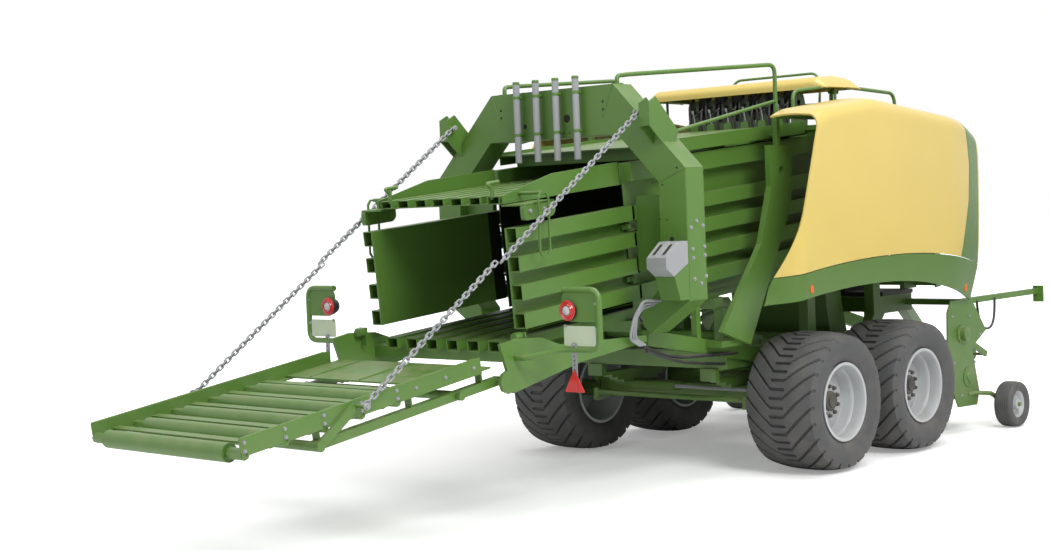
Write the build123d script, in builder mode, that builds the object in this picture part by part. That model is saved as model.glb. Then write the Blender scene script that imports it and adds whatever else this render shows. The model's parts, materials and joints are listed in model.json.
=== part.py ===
"""Large square baler on a tandem axle, with steered rear wheels and a folding bale chute.

Millimetres. +X is the direction of travel, +Y the machine's left side and +Z up.
The origin lies on the ground below the middle of the whole machine.
"""
import os
from math import atan, cos, degrees, hypot, pi, radians, sin, tan

from build123d import *

os.makedirs("parts", exist_ok=True)

# General values: the overrun of every cut, running and seating gaps, sheet thicknesses.
overrun = 5
seat_gap = 0.3
run_gap = 6
sheet = 6
plate = 12
tube_radius = 21
bar_sides = 8
tube_sides = 6
wheel_sides = 24

# Wheels and tyres, one size on both axles.
tyre_diameter = 1064
tyre_width = 620
tread_width = 556
lug_height = 30
lug_width = 62
lug_count = 18
lug_root = 22
lug_slant_share = 0.2
rim_width = 500
bead_diameter = 572
flange_height = 13
flange_width = 10
barrel_wall = 12
hub_radius = 80
hub_offset = 117
disc_setback = 62
disc_wall = 22
stub_radius = 40
stub_depth = 55

# Axles: the rear one steers on kingpins, the front one is rigid.
wheel_side = 1198
axle_height = tyre_diameter / 2
rear_axle_x = 530
axle_spacing = 1180
front_axle_x = rear_axle_x + axle_spacing
beam_size = 120
beam_lift = 30
spindle_radius = 72
kingpin_side = 840
kingpin_radius = 30
kingpin_boss_radius = 52
knuckle_plate = 34
knuckle_reach = 78
steer_arm_length = 270
steer_arm_offset = 88
tie_rod_radius = 22
steer_cylinder_radius = 34
steer_rod_radius = 17
steer_cylinder_arm = 150
steer_cylinder_length = 430
steer_eye_radius = 26
steer_eye_height = 40
spring_side = 540
spring_width = 90
spring_leaf = 26
spring_leaves = 4
spring_length = 900
spring_step = 150

# Chassis below the bale chamber.
chassis_side = 640
chassis_width = 90
chassis_height = 150
chassis_z = 860
chassis_rear_x = 60
chassis_front_x = 2900
push_arm_side = 728
push_arm_width = 70
push_arm_depth = 110
push_arm_rise = 265
gusset_x = -296
gusset_thickness = 46
gusset_width = 330

# Bale chamber: it rises towards the front, so it is laid out on its own tilted planes.
chamber_tilt = 5
chamber_rear_x = -2259
chamber_floor_z = 1212
chamber_width = 1220
chamber_height = 905
chamber_length = 4700
floor_tubes = 6
floor_tube_pitch = 200
floor_tube_width = 112
floor_tube_height = 82
floor_tube_wall = 9
wall_rib_pitch = 190
wall_rib_height = 105
wall_rib_depth = 100
wall_rib_count = 4
wall_rib_start = 75
top_rail_start = 924
top_rail_height = 135
top_rail_depth = 110
flap_length = 1330
flap_gap = 28
side_flap_splay = 1.8
top_flap_length = 1420
top_flap_width = 1236
top_flap_ribs = 7
top_flap_rib_height = 55
top_flap_cheek_rise = 165
top_flap_cheek_run = 560
hinge_radius = 22

# Hexagonal arch behind the fixed chamber that holds the density cylinders.
arch_rear_x = -1030
arch_depth = 210
arch_top_z = 2955
arch_top_half = 600
arch_kink_z = 2330
arch_half = 1220
arch_leg_z = 1401
arch_foot_side = 867
arch_foot_z = 1164
arch_foot_width = 92
arch_section = 235
beam_section = 360
ear_side = 916
ear_inner = 942
ear_thickness = 94
shackle_x = -1146
shackle_z = 2726
shackle_pin_radius = 13
rod_radius = 27
rod_pitch = 195
rod_count = 4
rod_bottom_z = 2420
rod_top_z = 3038
rod_standoff = 50

# Bale chute with rollers, hinged below the rear end of the chamber floor.
pivot_x = -2470
pivot_z = 972
pivot_radius = 22
pivot_plate_side = 804
pivot_plate_radius = 78
chute_tilt = 8
chute_half = 745
chute_length = 2110
chute_rail_top = 195
chute_rail_height = 105
chute_rail_lip = 46
roller_radius = 57
roller_half = 600
roller_count = 5
roller_pitch = 296
roller_level = 100
roller_end = 2085
roller_pin_radius = 14
chute_arm_side = 700
chute_arm_size = 56
crossbar_radius = 30
crossbar_run = 1567
chain_hook_run = 1250
chain_hook_rise = 163.6
chain_hook_side = 834
buffer_radius = 32
buffer_length = 62
buffer_side = 770

# Support chains between arch and chute, each in two lengths that meet at a knee.
chain_knee_share = 0.55
chain_knee_offset = 22.5
chain_pitch = 156
chain_wire = 13
chain_link_width = 40

# Side hoods with a yellow panel and a green skirt, hinged along their upper edge.
hood_side = 1450
hood_thickness = 30
hood_rear_x = -90
hood_front_x = 2979
hood_low_z = 1180
hood_high_z = 2850
hood_turn_in = 200
hood_plan_back = 250
hood_hinge_side = 1000
hood_hinge_z = 2740
hood_hinge_xs = (900, 1500)
hood_bar_end = 1700
hinge_pin_radius = 12
hinge_lug = 40
skirt_gap = 6

# Front shield, drawbar, flywheel and parking jack.
shield_x = 3000
shield_half = 985
shield_low_z = 1250
shield_high_z = 2700
shield_bulge = 170
hitch_x = 4545
hitch_z = 560
hitch_eye_radius = 25
hitch_eye_outer = 62
hitch_eye_height = 45
drawbar_size = 120
drawbar_root_side = 560
flywheel_x = 3120
flywheel_z = 1560
flywheel_radius = 340
flywheel_width = 120
shaft_radius = 30
input_radius = 22
input_length = 140
jack_x = 3900
jack_side = 235
jack_radius = 45
jack_foot = 120
gearbox_x = 2710
gearbox_length = 520
gearbox_width = 620
gearbox_height = 640

# Knotters, their lid, the walkway and its rails on top of the chamber.
knotter_x = 1470
knotter_count = 6
knotter_pitch = 175
knotter_radius = 120
knotter_width = 60
knotter_lift = 260
cover_half = 925
cover_length = 560
cover_lift = 390
cover_sheet = 26
cover_drop = 70
deck_side = 752
deck_height = 100
rail_side = 800
rail_rear_x = -920
rail_front_x = 730
rail_rear_z = 2940
rail_front_z = 3140

# Lamp carriers beside the chamber's rear end.
lamp_x = -2241
lamp_side = 1171
lamp_z = 1425
lamp_radius = 68
lamp_depth = 34
carrier_outer = 1420
carrier_inner = 1100
carrier_low_z = 1170
carrier_high_z = 1560
carrier_corner = 90
triangle_size = 170
triangle_z = 900
triangle_side = 1208

# Pickup below the front of the machine.
pickup_x = 2800
pickup_z = 480
pickup_half = 1290
pickup_reel_radius = 300
pickup_drum_radius = 210
pickup_reel_half = 1150
tine_bars = 5
tine_count = 13
drum_sides = 15
tine_radius = 6
gauge_x = 3280
gauge_side = 1450
gauge_radius = 200
gauge_width = 165
hood_bend = 90
hood_roll = 120
hood_lean_share = 0.36
hood_bar = 40
gusset_low_z = 995
gusset_bore = 36
front_step = 260
step_x = 2220
front_bar_side = 1200
front_bar_size = 50
front_bar_x = 4380
lift_shaft_radius = 32
post_size = 50
deck_gap = 20
rail_foot_z = 2560
rail_mid_x = -570
rail_mid_z = 2600
rail_mid_rise = 250
lid_shares = ((0.0, -0.6), (0.0, 0.1), (0.12, 0.75), (0.5, 1.0), (0.9, 0.8), (1.0, 0.3), (1.0, -0.6), (0.96, -0.6), (0.96, 0.2), (0.88, 0.5), (0.5, 0.7), (0.15, 0.5), (0.04, 0.0), (0.04, -0.6))
knotter_frame_shares = ((-1.0, 0.05), (1.0, 0.05), (1.1, 0.6), (0.6, 1.3), (-0.5, 1.3), (-0.9, 0.5))
chock_depth = 250
chock_width = 85
chock_height = 240
chock_z = 1580
chock_shares = ((0.0, 0.25), (0.0, 0.55), (0.6, 1.0), (1.0, 1.0), (1.0, 0.35), (0.35, 0.0))
pocket_shares = ((0.36, -0.01), (1.0, 0.335), (1.0, -0.7), (0.6, -0.7))
accumulator_radius = 44
accumulator_z = 1580
accumulator_height = 230
yoke_x = 250
yoke_z = 1040
yoke_half = 585
yoke_radius = 38
needle_reach = 500
needle_rise = 170
needle_width = 18
needle_shares = ((0.0, 0.13), (0.1, 0.5), (0.3, 0.83), (0.6, 0.98), (1.0, 1.0), (1.0, 0.89), (0.62, 0.86), (0.34, 0.7), (0.16, 0.42), (0.05, 0.13))
duct_x = 1850
duct_z = 420
duct_length = 500
duct_height = 1050
duct_outer_shares = ((0.6, 0.0), (0.2, 0.35), (0.0, 1.0))
duct_inner_shares = ((0.45, 1.0), (0.62, 0.5), (1.0, 0.15))
pickup_depth = 440
pickup_height = 680
pickup_plate_shares = ((-0.8, 0.05), (-0.75, 0.85), (-0.6, 0.99), (0.23, 0.98), (0.8, 0.56), (0.2, 0.36), (0.45, -0.2), (0.35, -0.38), (-0.4, -0.36))
gauge_arm_z = 330
gauge_arm_lead = 120
gauge_arm_low_z = 300
gauge_sides = 16
gauge_section_shares = ((-0.3, 0.15), (-0.3, 0.55), (-0.5, 0.62), (-0.5, 0.9), (-0.34, 1.0), (0.34, 1.0), (0.5, 0.9), (0.5, 0.62), (0.3, 0.55), (0.3, 0.15))
crop_roller_x = 3180
crop_roller_z = 640
crop_roller_radius = 50
post_height = 560
gusset_height = 1500
pivot_plate_length = 1440
pivot_plate_height = 275
flap_start = 55
top_flap_start = 105
top_flap_pitch = 176
top_rail_rise = 19
hoop_setback = 160
hoop_side = 830
hoop_radius = 6
hoop_height = 430
hoop_width = 110
hoop_shares = ((-0.5, -0.42), (-0.25, -0.5), (0.25, -0.5), (0.5, -0.42), (0.5, 0.42), (0.25, 0.5), (-0.25, 0.5), (-0.5, 0.42))
ear_length = 300
ear_height = 110
chute_sheet_start = 60
chute_sheet_end = 560
rail_gap = 150
strip_width = 60
ear_shares = ((-0.08, -0.9), (-0.08, 0.6), (0.18, 0.95), (1.0, -1.2), (0.9, -2.0), (0.39, -2.0))
lift_pivot_x = 2350
lift_pivot_z = 700


def block(x, y, z, mode=Mode.ADD):
    """A box between three pairs of coordinates."""
    with Locations(((x[0] + x[1]) / 2, (y[0] + y[1]) / 2, (z[0] + z[1]) / 2)):
        Box(abs(x[1] - x[0]), abs(y[1] - y[0]), abs(z[1] - z[0]), mode=mode)


def prism(plane, points, amount, mode=Mode.ADD):
    """A straight-sided outline on a plane, drawn out along its normal."""
    with BuildSketch(plane) as outline:
        with BuildLine():
            Polyline(*points, close=True)
        make_face()
    extrude(outline.sketch, amount=amount, mode=mode)


def side_plane(y):
    """An upright plane along the machine whose normal points to +Y's opposite."""
    return Plane.XZ.offset(-y)


def pin(start, end, radius, mode=Mode.ADD):
    """A round pin between two points, or the round bore for one."""
    run = Vector(*end) - Vector(*start)
    with BuildSketch(Plane(origin=start, z_dir=run)) as section:
        Circle(radius)
    extrude(section.sketch, amount=run.length, mode=mode)


def rod(start, end, radius, sides=bar_sides):
    """A bar of flat sides between two points, its edges at the radius."""
    run = Vector(*end) - Vector(*start)
    with BuildSketch(Plane(origin=start, z_dir=run)) as section:
        RegularPolygon(radius, sides)
    extrude(section.sketch, amount=run.length)


def hole(start, end, radius, sides=bar_sides):
    """Cuts a hole of flat sides between two points, its flats at the radius."""
    run = Vector(*end) - Vector(*start)
    with BuildSketch(Plane(origin=start, z_dir=run)) as section:
        RegularPolygon(radius, sides, major_radius=False)
    extrude(section.sketch, amount=run.length, mode=Mode.SUBTRACT)


def bent_tube(points, radius, bend):
    """A tube of flat sides along straight runs whose corners are cut once."""
    places = [Vector(*point) for point in points]
    path = [places[0]]
    for before, corner, after in zip(places, places[1:], places[2:]):
        path += [corner + (before - corner).normalized() * bend, corner + (after - corner).normalized() * bend]
    path.append(places[-1])
    with BuildLine() as run:
        Polyline(*path)
    with BuildSketch(Plane(origin=path[0], z_dir=path[1] - path[0])) as section:
        RegularPolygon(radius, tube_sides)
    sweep(section.sketch, path=run.line, transition=Transition.RIGHT)


def ring(centre, outline, sides):
    """A wheel in flat steps: a closed outline of side and radius carried round +Y."""
    faces = []
    for step in range(sides):
        spokes = [radians(360 * edge / sides) for edge in (step, step + 1)]
        for near, far in zip(outline, outline[1:] + outline[:1]):
            corners = [(near, 0), (far, 0), (far, 1), (near, 1)]
            faces.append(Face(Wire.make_polygon([
                centre + Vector(point[1] * sin(spokes[edge]), -point[0], point[1] * cos(spokes[edge]))
                for point, edge in corners])))
    add(Solid(Shell(faces)))


def beam(start, end, width, depth):
    """A square-edged bar between two points, its width level."""
    run = Vector(*end) - Vector(*start)
    level = Vector(0, 0, 1).cross(run)
    with BuildSketch(Plane(origin=start, x_dir=level, z_dir=run)) as section:
        Rectangle(width, depth)
    extrude(section.sketch, amount=run.length)


def write(piece, name):
    """Labels one finished piece and writes it."""
    piece.part.label = name
    export_step(piece.part, f"parts/{name}.step")


def write_pair(right, name):
    """Writes a right-hand piece and its mirror image on the left."""
    write(right, name + "_right")
    with BuildPart() as left:
        mirror(right.part, about=Plane.XZ)
    write(left, name + "_left")


def write_both(right, name):
    """Writes a right-hand piece and its mirror image as one piece."""
    with BuildPart() as both:
        add(right.part)
        mirror(right.part, about=Plane.XZ)
    write(both, name)


def turned(x, z, tilt):
    """A point and two directions of a side view that is tilted about +Y."""
    along = (cos(radians(tilt)), 0, sin(radians(tilt)))
    return lambda y: Plane(origin=(x, y, z), x_dir=along, z_dir=(0, -1, 0))


# Tilted side views: the chamber's is measured from the rear edge of its floor,
# the chute's from its hinge pin. A cross plane stands square to one of them.
chamber_view = turned(chamber_rear_x, chamber_floor_z, chamber_tilt)
chute_view = turned(pivot_x, pivot_z, chute_tilt)


def in_view(view, run, side, rise):
    """The place of a point given by its run and rise in a tilted view."""
    return view(side).from_local_coords(Vector(run, rise, 0))


def across(view, run, rise=0):
    """A plane square to a tilted view: its x is +Y, its y the view's rise."""
    spot = view(0)
    return Plane(origin=in_view(view, run, 0, rise), x_dir=(0, 1, 0), z_dir=spot.x_dir)


# Tyres: a ring of flat steps with slanting lugs in two staggered rows that fall to the shoulders.
tyre_radius = tyre_diameter / 2
tread_radius = tyre_radius - lug_height
bead_radius = bead_diameter / 2
section_height = tread_radius - bead_radius
tyre_section_shares = (
    (-0.395, 0.0), (-0.5, 0.5), (-0.445, 0.875), (0.0, 1.0), (0.445, 0.875), (0.5, 0.5), (0.395, 0.0),
)
wheel_centre = Vector(rear_axle_x, -wheel_side, axle_height)
half_tread = tread_width / 2
lug_skew = half_tread * lug_slant_share
crown_fall = section_height * (tyre_section_shares[3][1] - tyre_section_shares[2][1])
crown_slope = crown_fall / (tyre_width * tyre_section_shares[4][0])
lug_tip = lug_skew + lug_width / 2
lug_top = (tyre_radius * tyre_radius - lug_tip * lug_tip) ** 0.5
with BuildPart() as tyre_rear:
    ring(wheel_centre, [(tyre_width * side_share, bead_radius + section_height * up_share)
                        for side_share, up_share in tyre_section_shares], wheel_sides)
    for row in (-1, 1):
        lug_planes = []
        for step in range(lug_count):
            turn = radians((step + (row + 1) / 4) * 360 / lug_count)
            spoke = Vector(sin(turn), 0, -cos(turn))
            lug_planes.append(Plane(origin=wheel_centre + spoke * lug_top,
                                    x_dir=Vector(0, row, 0) - spoke * crown_slope,
                                    z_dir=spoke + Vector(0, row * crown_slope, 0)))
        with BuildSketch(*lug_planes):
            with BuildLine():
                Polyline((0, -row * lug_skew - lug_width / 2), (0, -row * lug_skew + lug_width / 2),
                         (half_tread, row * lug_skew + lug_width / 2),
                         (half_tread, row * lug_skew - lug_width / 2), close=True)
            make_face()
        extrude(amount=-lug_height - lug_root)

# Rims: barrel with two flanges, a dished disc and the hub's bearing bore.
flange_radius = bead_radius + flange_height
barrel_inner = bead_radius - barrel_wall
seat = bead_radius - seat_gap
lip = tyre_width * 0.43 + flange_width
bore_end = hub_offset + stub_depth - plate
with BuildPart() as rim_rear:
    ring(wheel_centre, [
        (-lip, barrel_inner), (-lip, flange_radius), (-lip + flange_width, seat),
        (lip - flange_width, seat), (lip, flange_radius), (lip, barrel_inner),
        (disc_setback, barrel_inner), (hub_offset, hub_radius - disc_wall),
        (hub_offset - disc_wall, hub_radius - disc_wall), (disc_setback - disc_wall, barrel_inner),
    ], wheel_sides)
    hub_inner = wheel_centre - Vector(0, hub_offset - disc_wall, 0)
    hub_end = wheel_centre - Vector(0, hub_offset + stub_depth, 0)
    rod(hub_inner, hub_end, hub_radius, wheel_sides // 2)
    pin(hub_inner + Vector(0, overrun, 0), wheel_centre - Vector(0, bore_end, 0), stub_radius + seat_gap,
        Mode.SUBTRACT)
for name, wheel_part in (("tyre", tyre_rear), ("rim", rim_rear)):
    write_pair(wheel_part, name + "_rear")
    with BuildPart() as ahead:
        with Locations((axle_spacing, 0, 0)):
            add(wheel_part.part)
    write_pair(ahead, name + "_front")

# Spindle with its stub, shared by knuckles and the rigid front axle.
stub_end = wheel_side + hub_offset + stub_depth - plate - seat_gap
spindle_end = wheel_side + hub_offset - disc_wall - run_gap


def spindle(x, root):
    """A right-hand spindle from its root outwards, and the stub in the hub's bore."""
    rod((x, -root, axle_height), (x, -spindle_end, axle_height), spindle_radius)
    pin((x, -spindle_end, axle_height), (x, -stub_end, axle_height), stub_radius)


def spring_pack(x, side, z):
    """Leaf springs, longest on top, lying lengthways on an axle beam."""
    for leaf in range(spring_leaves):
        length = spring_length - (spring_leaves - 1 - leaf) * spring_step
        low = z + leaf * spring_leaf
        block((x - length / 2, x + length / 2),
              (side - spring_width / 2, side + spring_width / 2), (low, low + spring_leaf))


beam_z = axle_height + beam_lift
beam_top = beam_z + beam_size / 2
spring_top = beam_top + spring_leaf * spring_leaves
chassis_low = chassis_z - chassis_height / 2
kingpin_half = beam_size / 2

with BuildPart() as axle_front:
    block((front_axle_x - beam_size / 2, front_axle_x + beam_size / 2),
          (-kingpin_side, kingpin_side), (beam_z - beam_size / 2, beam_top))
    spindle(front_axle_x, kingpin_side - beam_size)
    mirror(about=Plane.XZ)
    for side in (-spring_side, spring_side):
        spring_pack(front_axle_x, side, beam_top)
write(axle_front, "axle_front")

# The steered axle: beam with kingpin eyes and the steering cylinder's barrel.
cylinder_x = rear_axle_x - steer_cylinder_arm
knuckle_top = beam_top + seat_gap * 3 + knuckle_plate
cylinder_z = beam_top + seat_gap * 3 - steer_eye_height / 2 - seat_gap
barrel_near = spring_side - spring_width
with BuildPart() as axle_rear:
    block((rear_axle_x - beam_size / 2, rear_axle_x + beam_size / 2),
          (-kingpin_side, kingpin_side), (beam_z - beam_size / 2, beam_top))
    for side in (-kingpin_side, kingpin_side):
        with Locations((rear_axle_x, side, beam_z)):
            Box(kingpin_boss_radius * 2, kingpin_boss_radius * 2, beam_size)
            Cylinder(kingpin_radius + seat_gap, beam_size + overrun, mode=Mode.SUBTRACT)
    for side in (-spring_side, spring_side):
        spring_pack(rear_axle_x, side, beam_top)
    rod((cylinder_x, barrel_near - steer_cylinder_length, cylinder_z),
        (cylinder_x, barrel_near, cylinder_z), steer_cylinder_radius)
    for bracket in (barrel_near - steer_cylinder_length, barrel_near - sheet * 2):
        block((cylinder_x, rear_axle_x - beam_size / 2), (bracket, bracket + sheet * 2),
              (cylinder_z - steer_cylinder_radius, cylinder_z + steer_cylinder_radius))
    hole((cylinder_x, barrel_near - steer_cylinder_length - overrun, cylinder_z),
         (cylinder_x, barrel_near - plate, cylinder_z), steer_rod_radius + seat_gap)
write(axle_rear, "axle_rear")

with BuildPart() as steer_rod:
    rod((cylinder_x, -kingpin_side, cylinder_z), (cylinder_x, barrel_near / 2, cylinder_z),
        steer_rod_radius)
    rod((cylinder_x, -kingpin_side, cylinder_z - steer_eye_height / 2),
        (cylinder_x, -kingpin_side, cylinder_z + steer_eye_height / 2), steer_eye_radius)
write(steer_rod, "steer_rod")

# Knuckles: two plates round the kingpin eye, a web inside the rim and the steering arm.
web_inner = kingpin_side + knuckle_reach
plate_low = beam_z - beam_size / 2 - seat_gap * 3
arm_tip_x = rear_axle_x - steer_arm_length
arm_tip_side = kingpin_side - steer_arm_offset
with BuildPart() as knuckle:
    for low, high in ((plate_low - knuckle_plate, plate_low), (knuckle_top - knuckle_plate, knuckle_top)):
        with BuildSketch(Plane.XY.offset(low)):
            with Locations((rear_axle_x, -kingpin_side)):
                RegularPolygon(kingpin_boss_radius, bar_sides, rotation=180 / bar_sides)
            with BuildLine():
                Polyline((rear_axle_x - kingpin_boss_radius, -kingpin_side),
                         (rear_axle_x + kingpin_boss_radius, -kingpin_side),
                         (rear_axle_x + kingpin_boss_radius, -web_inner - knuckle_plate),
                         (rear_axle_x - kingpin_boss_radius, -web_inner - knuckle_plate), close=True)
            make_face()
        extrude(amount=high - low)
    block((rear_axle_x - kingpin_boss_radius, rear_axle_x + kingpin_boss_radius),
          (-web_inner - knuckle_plate, -web_inner), (plate_low - knuckle_plate, knuckle_top))
    with Locations((rear_axle_x, -kingpin_side, beam_z)):
        Cylinder(kingpin_radius, beam_size + knuckle_plate)
    spindle(rear_axle_x, web_inner)
    prism(Plane.XY.offset(plate_low - knuckle_plate),
          ((rear_axle_x, -kingpin_side - kingpin_radius), (rear_axle_x, -kingpin_side + kingpin_radius),
           (arm_tip_x - tie_rod_radius, -arm_tip_side + tie_rod_radius),
           (arm_tip_x - tie_rod_radius, -arm_tip_side - tie_rod_radius)), knuckle_plate)
    prism(Plane.XY.offset(knuckle_top - knuckle_plate),
          ((rear_axle_x, -kingpin_side - kingpin_radius), (rear_axle_x, -kingpin_side + kingpin_radius),
           (cylinder_x - steer_eye_radius, -kingpin_side + steer_eye_radius),
           (cylinder_x - steer_eye_radius, -kingpin_side - steer_eye_radius)), knuckle_plate)
write_pair(knuckle, "knuckle")

tie_rod_z = plate_low + seat_gap + tie_rod_radius * 1.6
with BuildPart() as tie_rod:
    rod((arm_tip_x, -arm_tip_side, tie_rod_z), (arm_tip_x, arm_tip_side, tie_rod_z), tie_rod_radius)
    for side in (-arm_tip_side, arm_tip_side):
        pin((arm_tip_x, side, tie_rod_z - tie_rod_radius * 1.6),
            (arm_tip_x, side, tie_rod_z + tie_rod_radius * 1.6), tie_rod_radius * 1.3)
write(tie_rod, "tie_rod")

# Chassis: two side beams with cross members, spring hangers, uprights below the floor,
# push arms back to the arch feet, and leaning gussets that hold the hood frames.
chassis_high = chassis_z + chassis_height / 2
cross_shares = (0.0, 0.5, 0.82)
channel_shares = (0.02, 0.28, 0.5, 0.75, 0.97)
channel_low = -floor_tube_height * 2
wall_outer = chamber_width / 2 + wall_rib_depth
hanger_reach = spring_length / 2 + spring_leaf
gusset_shares = ((0.0, 0.08), (1.07, 0.0), (2.9, 0.69), (3.02, 1.0), (2.08, 1.0), (2.08, 0.79), (1.61, 0.5))
with BuildPart() as chassis:
    for side in (-chassis_side, chassis_side):
        block((chassis_rear_x, step_x), (side - chassis_width / 2, side + chassis_width / 2),
              (chassis_low, chassis_high))
    for share in cross_shares:
        spot = chassis_rear_x + share * (step_x - chassis_rear_x) + chassis_width / 2 * (1 - 2 * share)
        block((spot - chassis_width / 2, spot + chassis_width / 2), (-chassis_side, chassis_side),
              (chassis_low + plate, chassis_high - plate))
    for axle_x in (rear_axle_x, front_axle_x):
        for end in (-hanger_reach, hanger_reach):
            block((axle_x + end - spring_leaf, axle_x + end + spring_leaf),
                  (spring_side - spring_width / 2, chassis_side), (spring_top - spring_leaf, chassis_low + plate))
            block((axle_x + end - spring_leaf, axle_x + end + spring_leaf),
                  (-chassis_side, -spring_side + spring_width / 2), (spring_top - spring_leaf, chassis_low + plate))
    for share in channel_shares[2:4]:
        run = share * chamber_length
        ends = [in_view(chamber_view, run + offset, 0, channel_low) for offset in (0, floor_tube_width)]
        for side in (chassis_side - chassis_width / 2, -chassis_side - chassis_width / 2):
            prism(side_plane(side), ((ends[0].X, chassis_high - plate), (ends[1].X, chassis_high - plate),
                                     (ends[1].X, ends[1].Z), (ends[0].X, ends[0].Z)), -chassis_width)
    for side in (-1, 1):
        beam((arch_rear_x + arch_depth / 2, side * push_arm_side, chassis_z + push_arm_rise),
             (rear_axle_x, side * push_arm_side, chassis_z), push_arm_width, push_arm_depth)
        block((chassis_rear_x, rear_axle_x), (side * push_arm_side, side * chassis_side),
              (chassis_low + plate, chassis_high - plate))
        block((gusset_x - post_size, gusset_x), (side * wall_outer, side * (wall_outer + post_size)),
              (chassis_high + post_size, chassis_high + post_height))
write(chassis, "chassis")

# Chamber floor: open square tubes side by side on cross channels.
tube_low = -floor_tube_height
with BuildPart() as chamber_floor:
    for share in channel_shares:
        with BuildSketch(across(chamber_view, share * chamber_length, channel_low + floor_tube_height / 2)):
            Rectangle(chamber_width, floor_tube_height)
        extrude(amount=floor_tube_width)
    with BuildSketch(across(chamber_view, 0, tube_low / 2)):
        for index in range(floor_tubes):
            with Locations(((index - (floor_tubes - 1) / 2) * floor_tube_pitch, 0)):
                Rectangle(floor_tube_width, floor_tube_height)
                Rectangle(floor_tube_width - 2 * floor_tube_wall,
                          floor_tube_height - 2 * floor_tube_wall, mode=Mode.SUBTRACT)
    extrude(amount=chamber_length)
write(chamber_floor, "chamber_floor")

# Pivot plates: rounded about the chute's pin, tapering forward to the arch feet, each with
# a rubber buffer for the folded chute and a foot against the first floor channel.
pivot_plate_shares = ((-0.05, 0.9), (0.06, 1.0), (0.23, 0.95), (0.36, 0.72), (1.0, 0.66), (1.0, 0.5),
                      (0.5, 0.22), (0.03, -0.28))
buffer_x = pivot_x + pivot_plate_length * 0.127
buffer_z = pivot_z + pivot_plate_height
plate_inner = -pivot_plate_side
with BuildPart() as pivot_plate_right:
    with BuildSketch(side_plane(plate_inner)):
        with Locations((pivot_x, pivot_z)):
            RegularPolygon(pivot_plate_radius, bar_sides)
        with BuildLine():
            Polyline(*[(pivot_x + pivot_plate_length * run, pivot_z + pivot_plate_height * rise)
                       for run, rise in pivot_plate_shares], close=True)
        make_face()
    extrude(amount=plate * 2)
    hole((pivot_x, plate_inner + overrun, pivot_z), (pivot_x, plate_inner - overrun * 8, pivot_z),
         pivot_radius + seat_gap)
    first = channel_shares[0] * chamber_length
    corners = [in_view(chamber_view, run, 0, rise) for run, rise in (
        (first, channel_low), (first + floor_tube_width, channel_low),
        (first + floor_tube_width, tube_low), (first, tube_low))]
    prism(side_plane(plate_inner), [(corner.X, corner.Z) for corner in corners],
          plate_inner + chamber_width / 2)
    block((buffer_x, buffer_x + plate), (plate_inner - plate, -buffer_side + buffer_radius),
          (buffer_z - buffer_radius * 3, buffer_z + buffer_radius))
    rod((buffer_x, -buffer_side, buffer_z), (buffer_x - buffer_length, -buffer_side, buffer_z), buffer_radius)
write_both(pivot_plate_right, "pivot_plates")

# Fixed chamber walls: sheet with hollow ribs outside that stay open at their rear ends.
wall_start = flap_length + flap_gap
wall_length = chamber_length - wall_start
sheet_inner = -chamber_width / 2


def ribbed_section():
    """The comb of one chamber side: sheet and hollow ribs, on the current sketch."""
    middle = wall_rib_start + (wall_rib_count - 1) * wall_rib_pitch / 2 + wall_rib_height / 2
    total = (wall_rib_count - 1) * wall_rib_pitch + wall_rib_height
    with Locations((-plate / 2, middle)):
        Rectangle(plate, total)
    for index in range(wall_rib_count):
        with Locations((-wall_rib_depth / 2, middle + (index - (wall_rib_count - 1) / 2) * wall_rib_pitch)):
            Rectangle(wall_rib_depth, wall_rib_height)
            with Locations((-plate / 2, 0)):
                Rectangle(wall_rib_depth - plate - sheet, wall_rib_height - 2 * sheet, mode=Mode.SUBTRACT)


flap_pin_run = flap_length + flap_gap / 2
flap_pin_side = chamber_width / 2 + plate + hinge_radius + overrun
flap_pin_rise = chamber_height + plate + hinge_radius + overrun
side_hinge_rises = [wall_rib_start + wall_rib_height / 2 + wall_rib_pitch * (index + 0.5) for index in (0, 2)]
top_hinge_sides = [side * top_flap_pitch * 1.5 for side in (-1, 1)]
knuckle_half = 18


def flap_block(run, side, rise, mode=Mode.ADD):
    """A box along the tilted chamber from its run, side and rise."""
    prism(chamber_view(max(side)), [(run[0], rise[0]), (run[1], rise[0]), (run[1], rise[1]), (run[0], rise[1])],
          abs(side[1] - side[0]), mode)


def flap_pin(make, start, end, radius):
    """A pin, rod or hole between two points given by run, side and rise."""
    make(in_view(chamber_view, *start), in_view(chamber_view, *end), radius)


with BuildPart() as chamber_wall_right:
    with BuildSketch(across(chamber_view, wall_start)) as wall_section:
        with Locations((sheet_inner, 0)):
            ribbed_section()
            with Locations((-plate / 2, chamber_height / 2)):
                Rectangle(plate, chamber_height)
    extrude(amount=wall_length)
    for rise in side_hinge_rises:
        flap_pin(pin, (flap_pin_run, -flap_pin_side, rise - knuckle_half * 2),
                 (flap_pin_run, -flap_pin_side, rise + knuckle_half * 2), hinge_pin_radius)
        for end in (-1, 1):
            ends = sorted((rise + end * (knuckle_half + seat_gap * 4), rise + end * knuckle_half * 2))
            flap_block((flap_pin_run - hinge_pin_radius, wall_start + overrun),
                       (-flap_pin_side - hinge_pin_radius, -flap_pin_side + hinge_pin_radius), ends)
            flap_block((wall_start + seat_gap, wall_start + post_size),
                       (-flap_pin_side - hinge_pin_radius, -chamber_width / 2 - plate / 2), ends)
write_both(chamber_wall_right, "chamber_walls")

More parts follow.
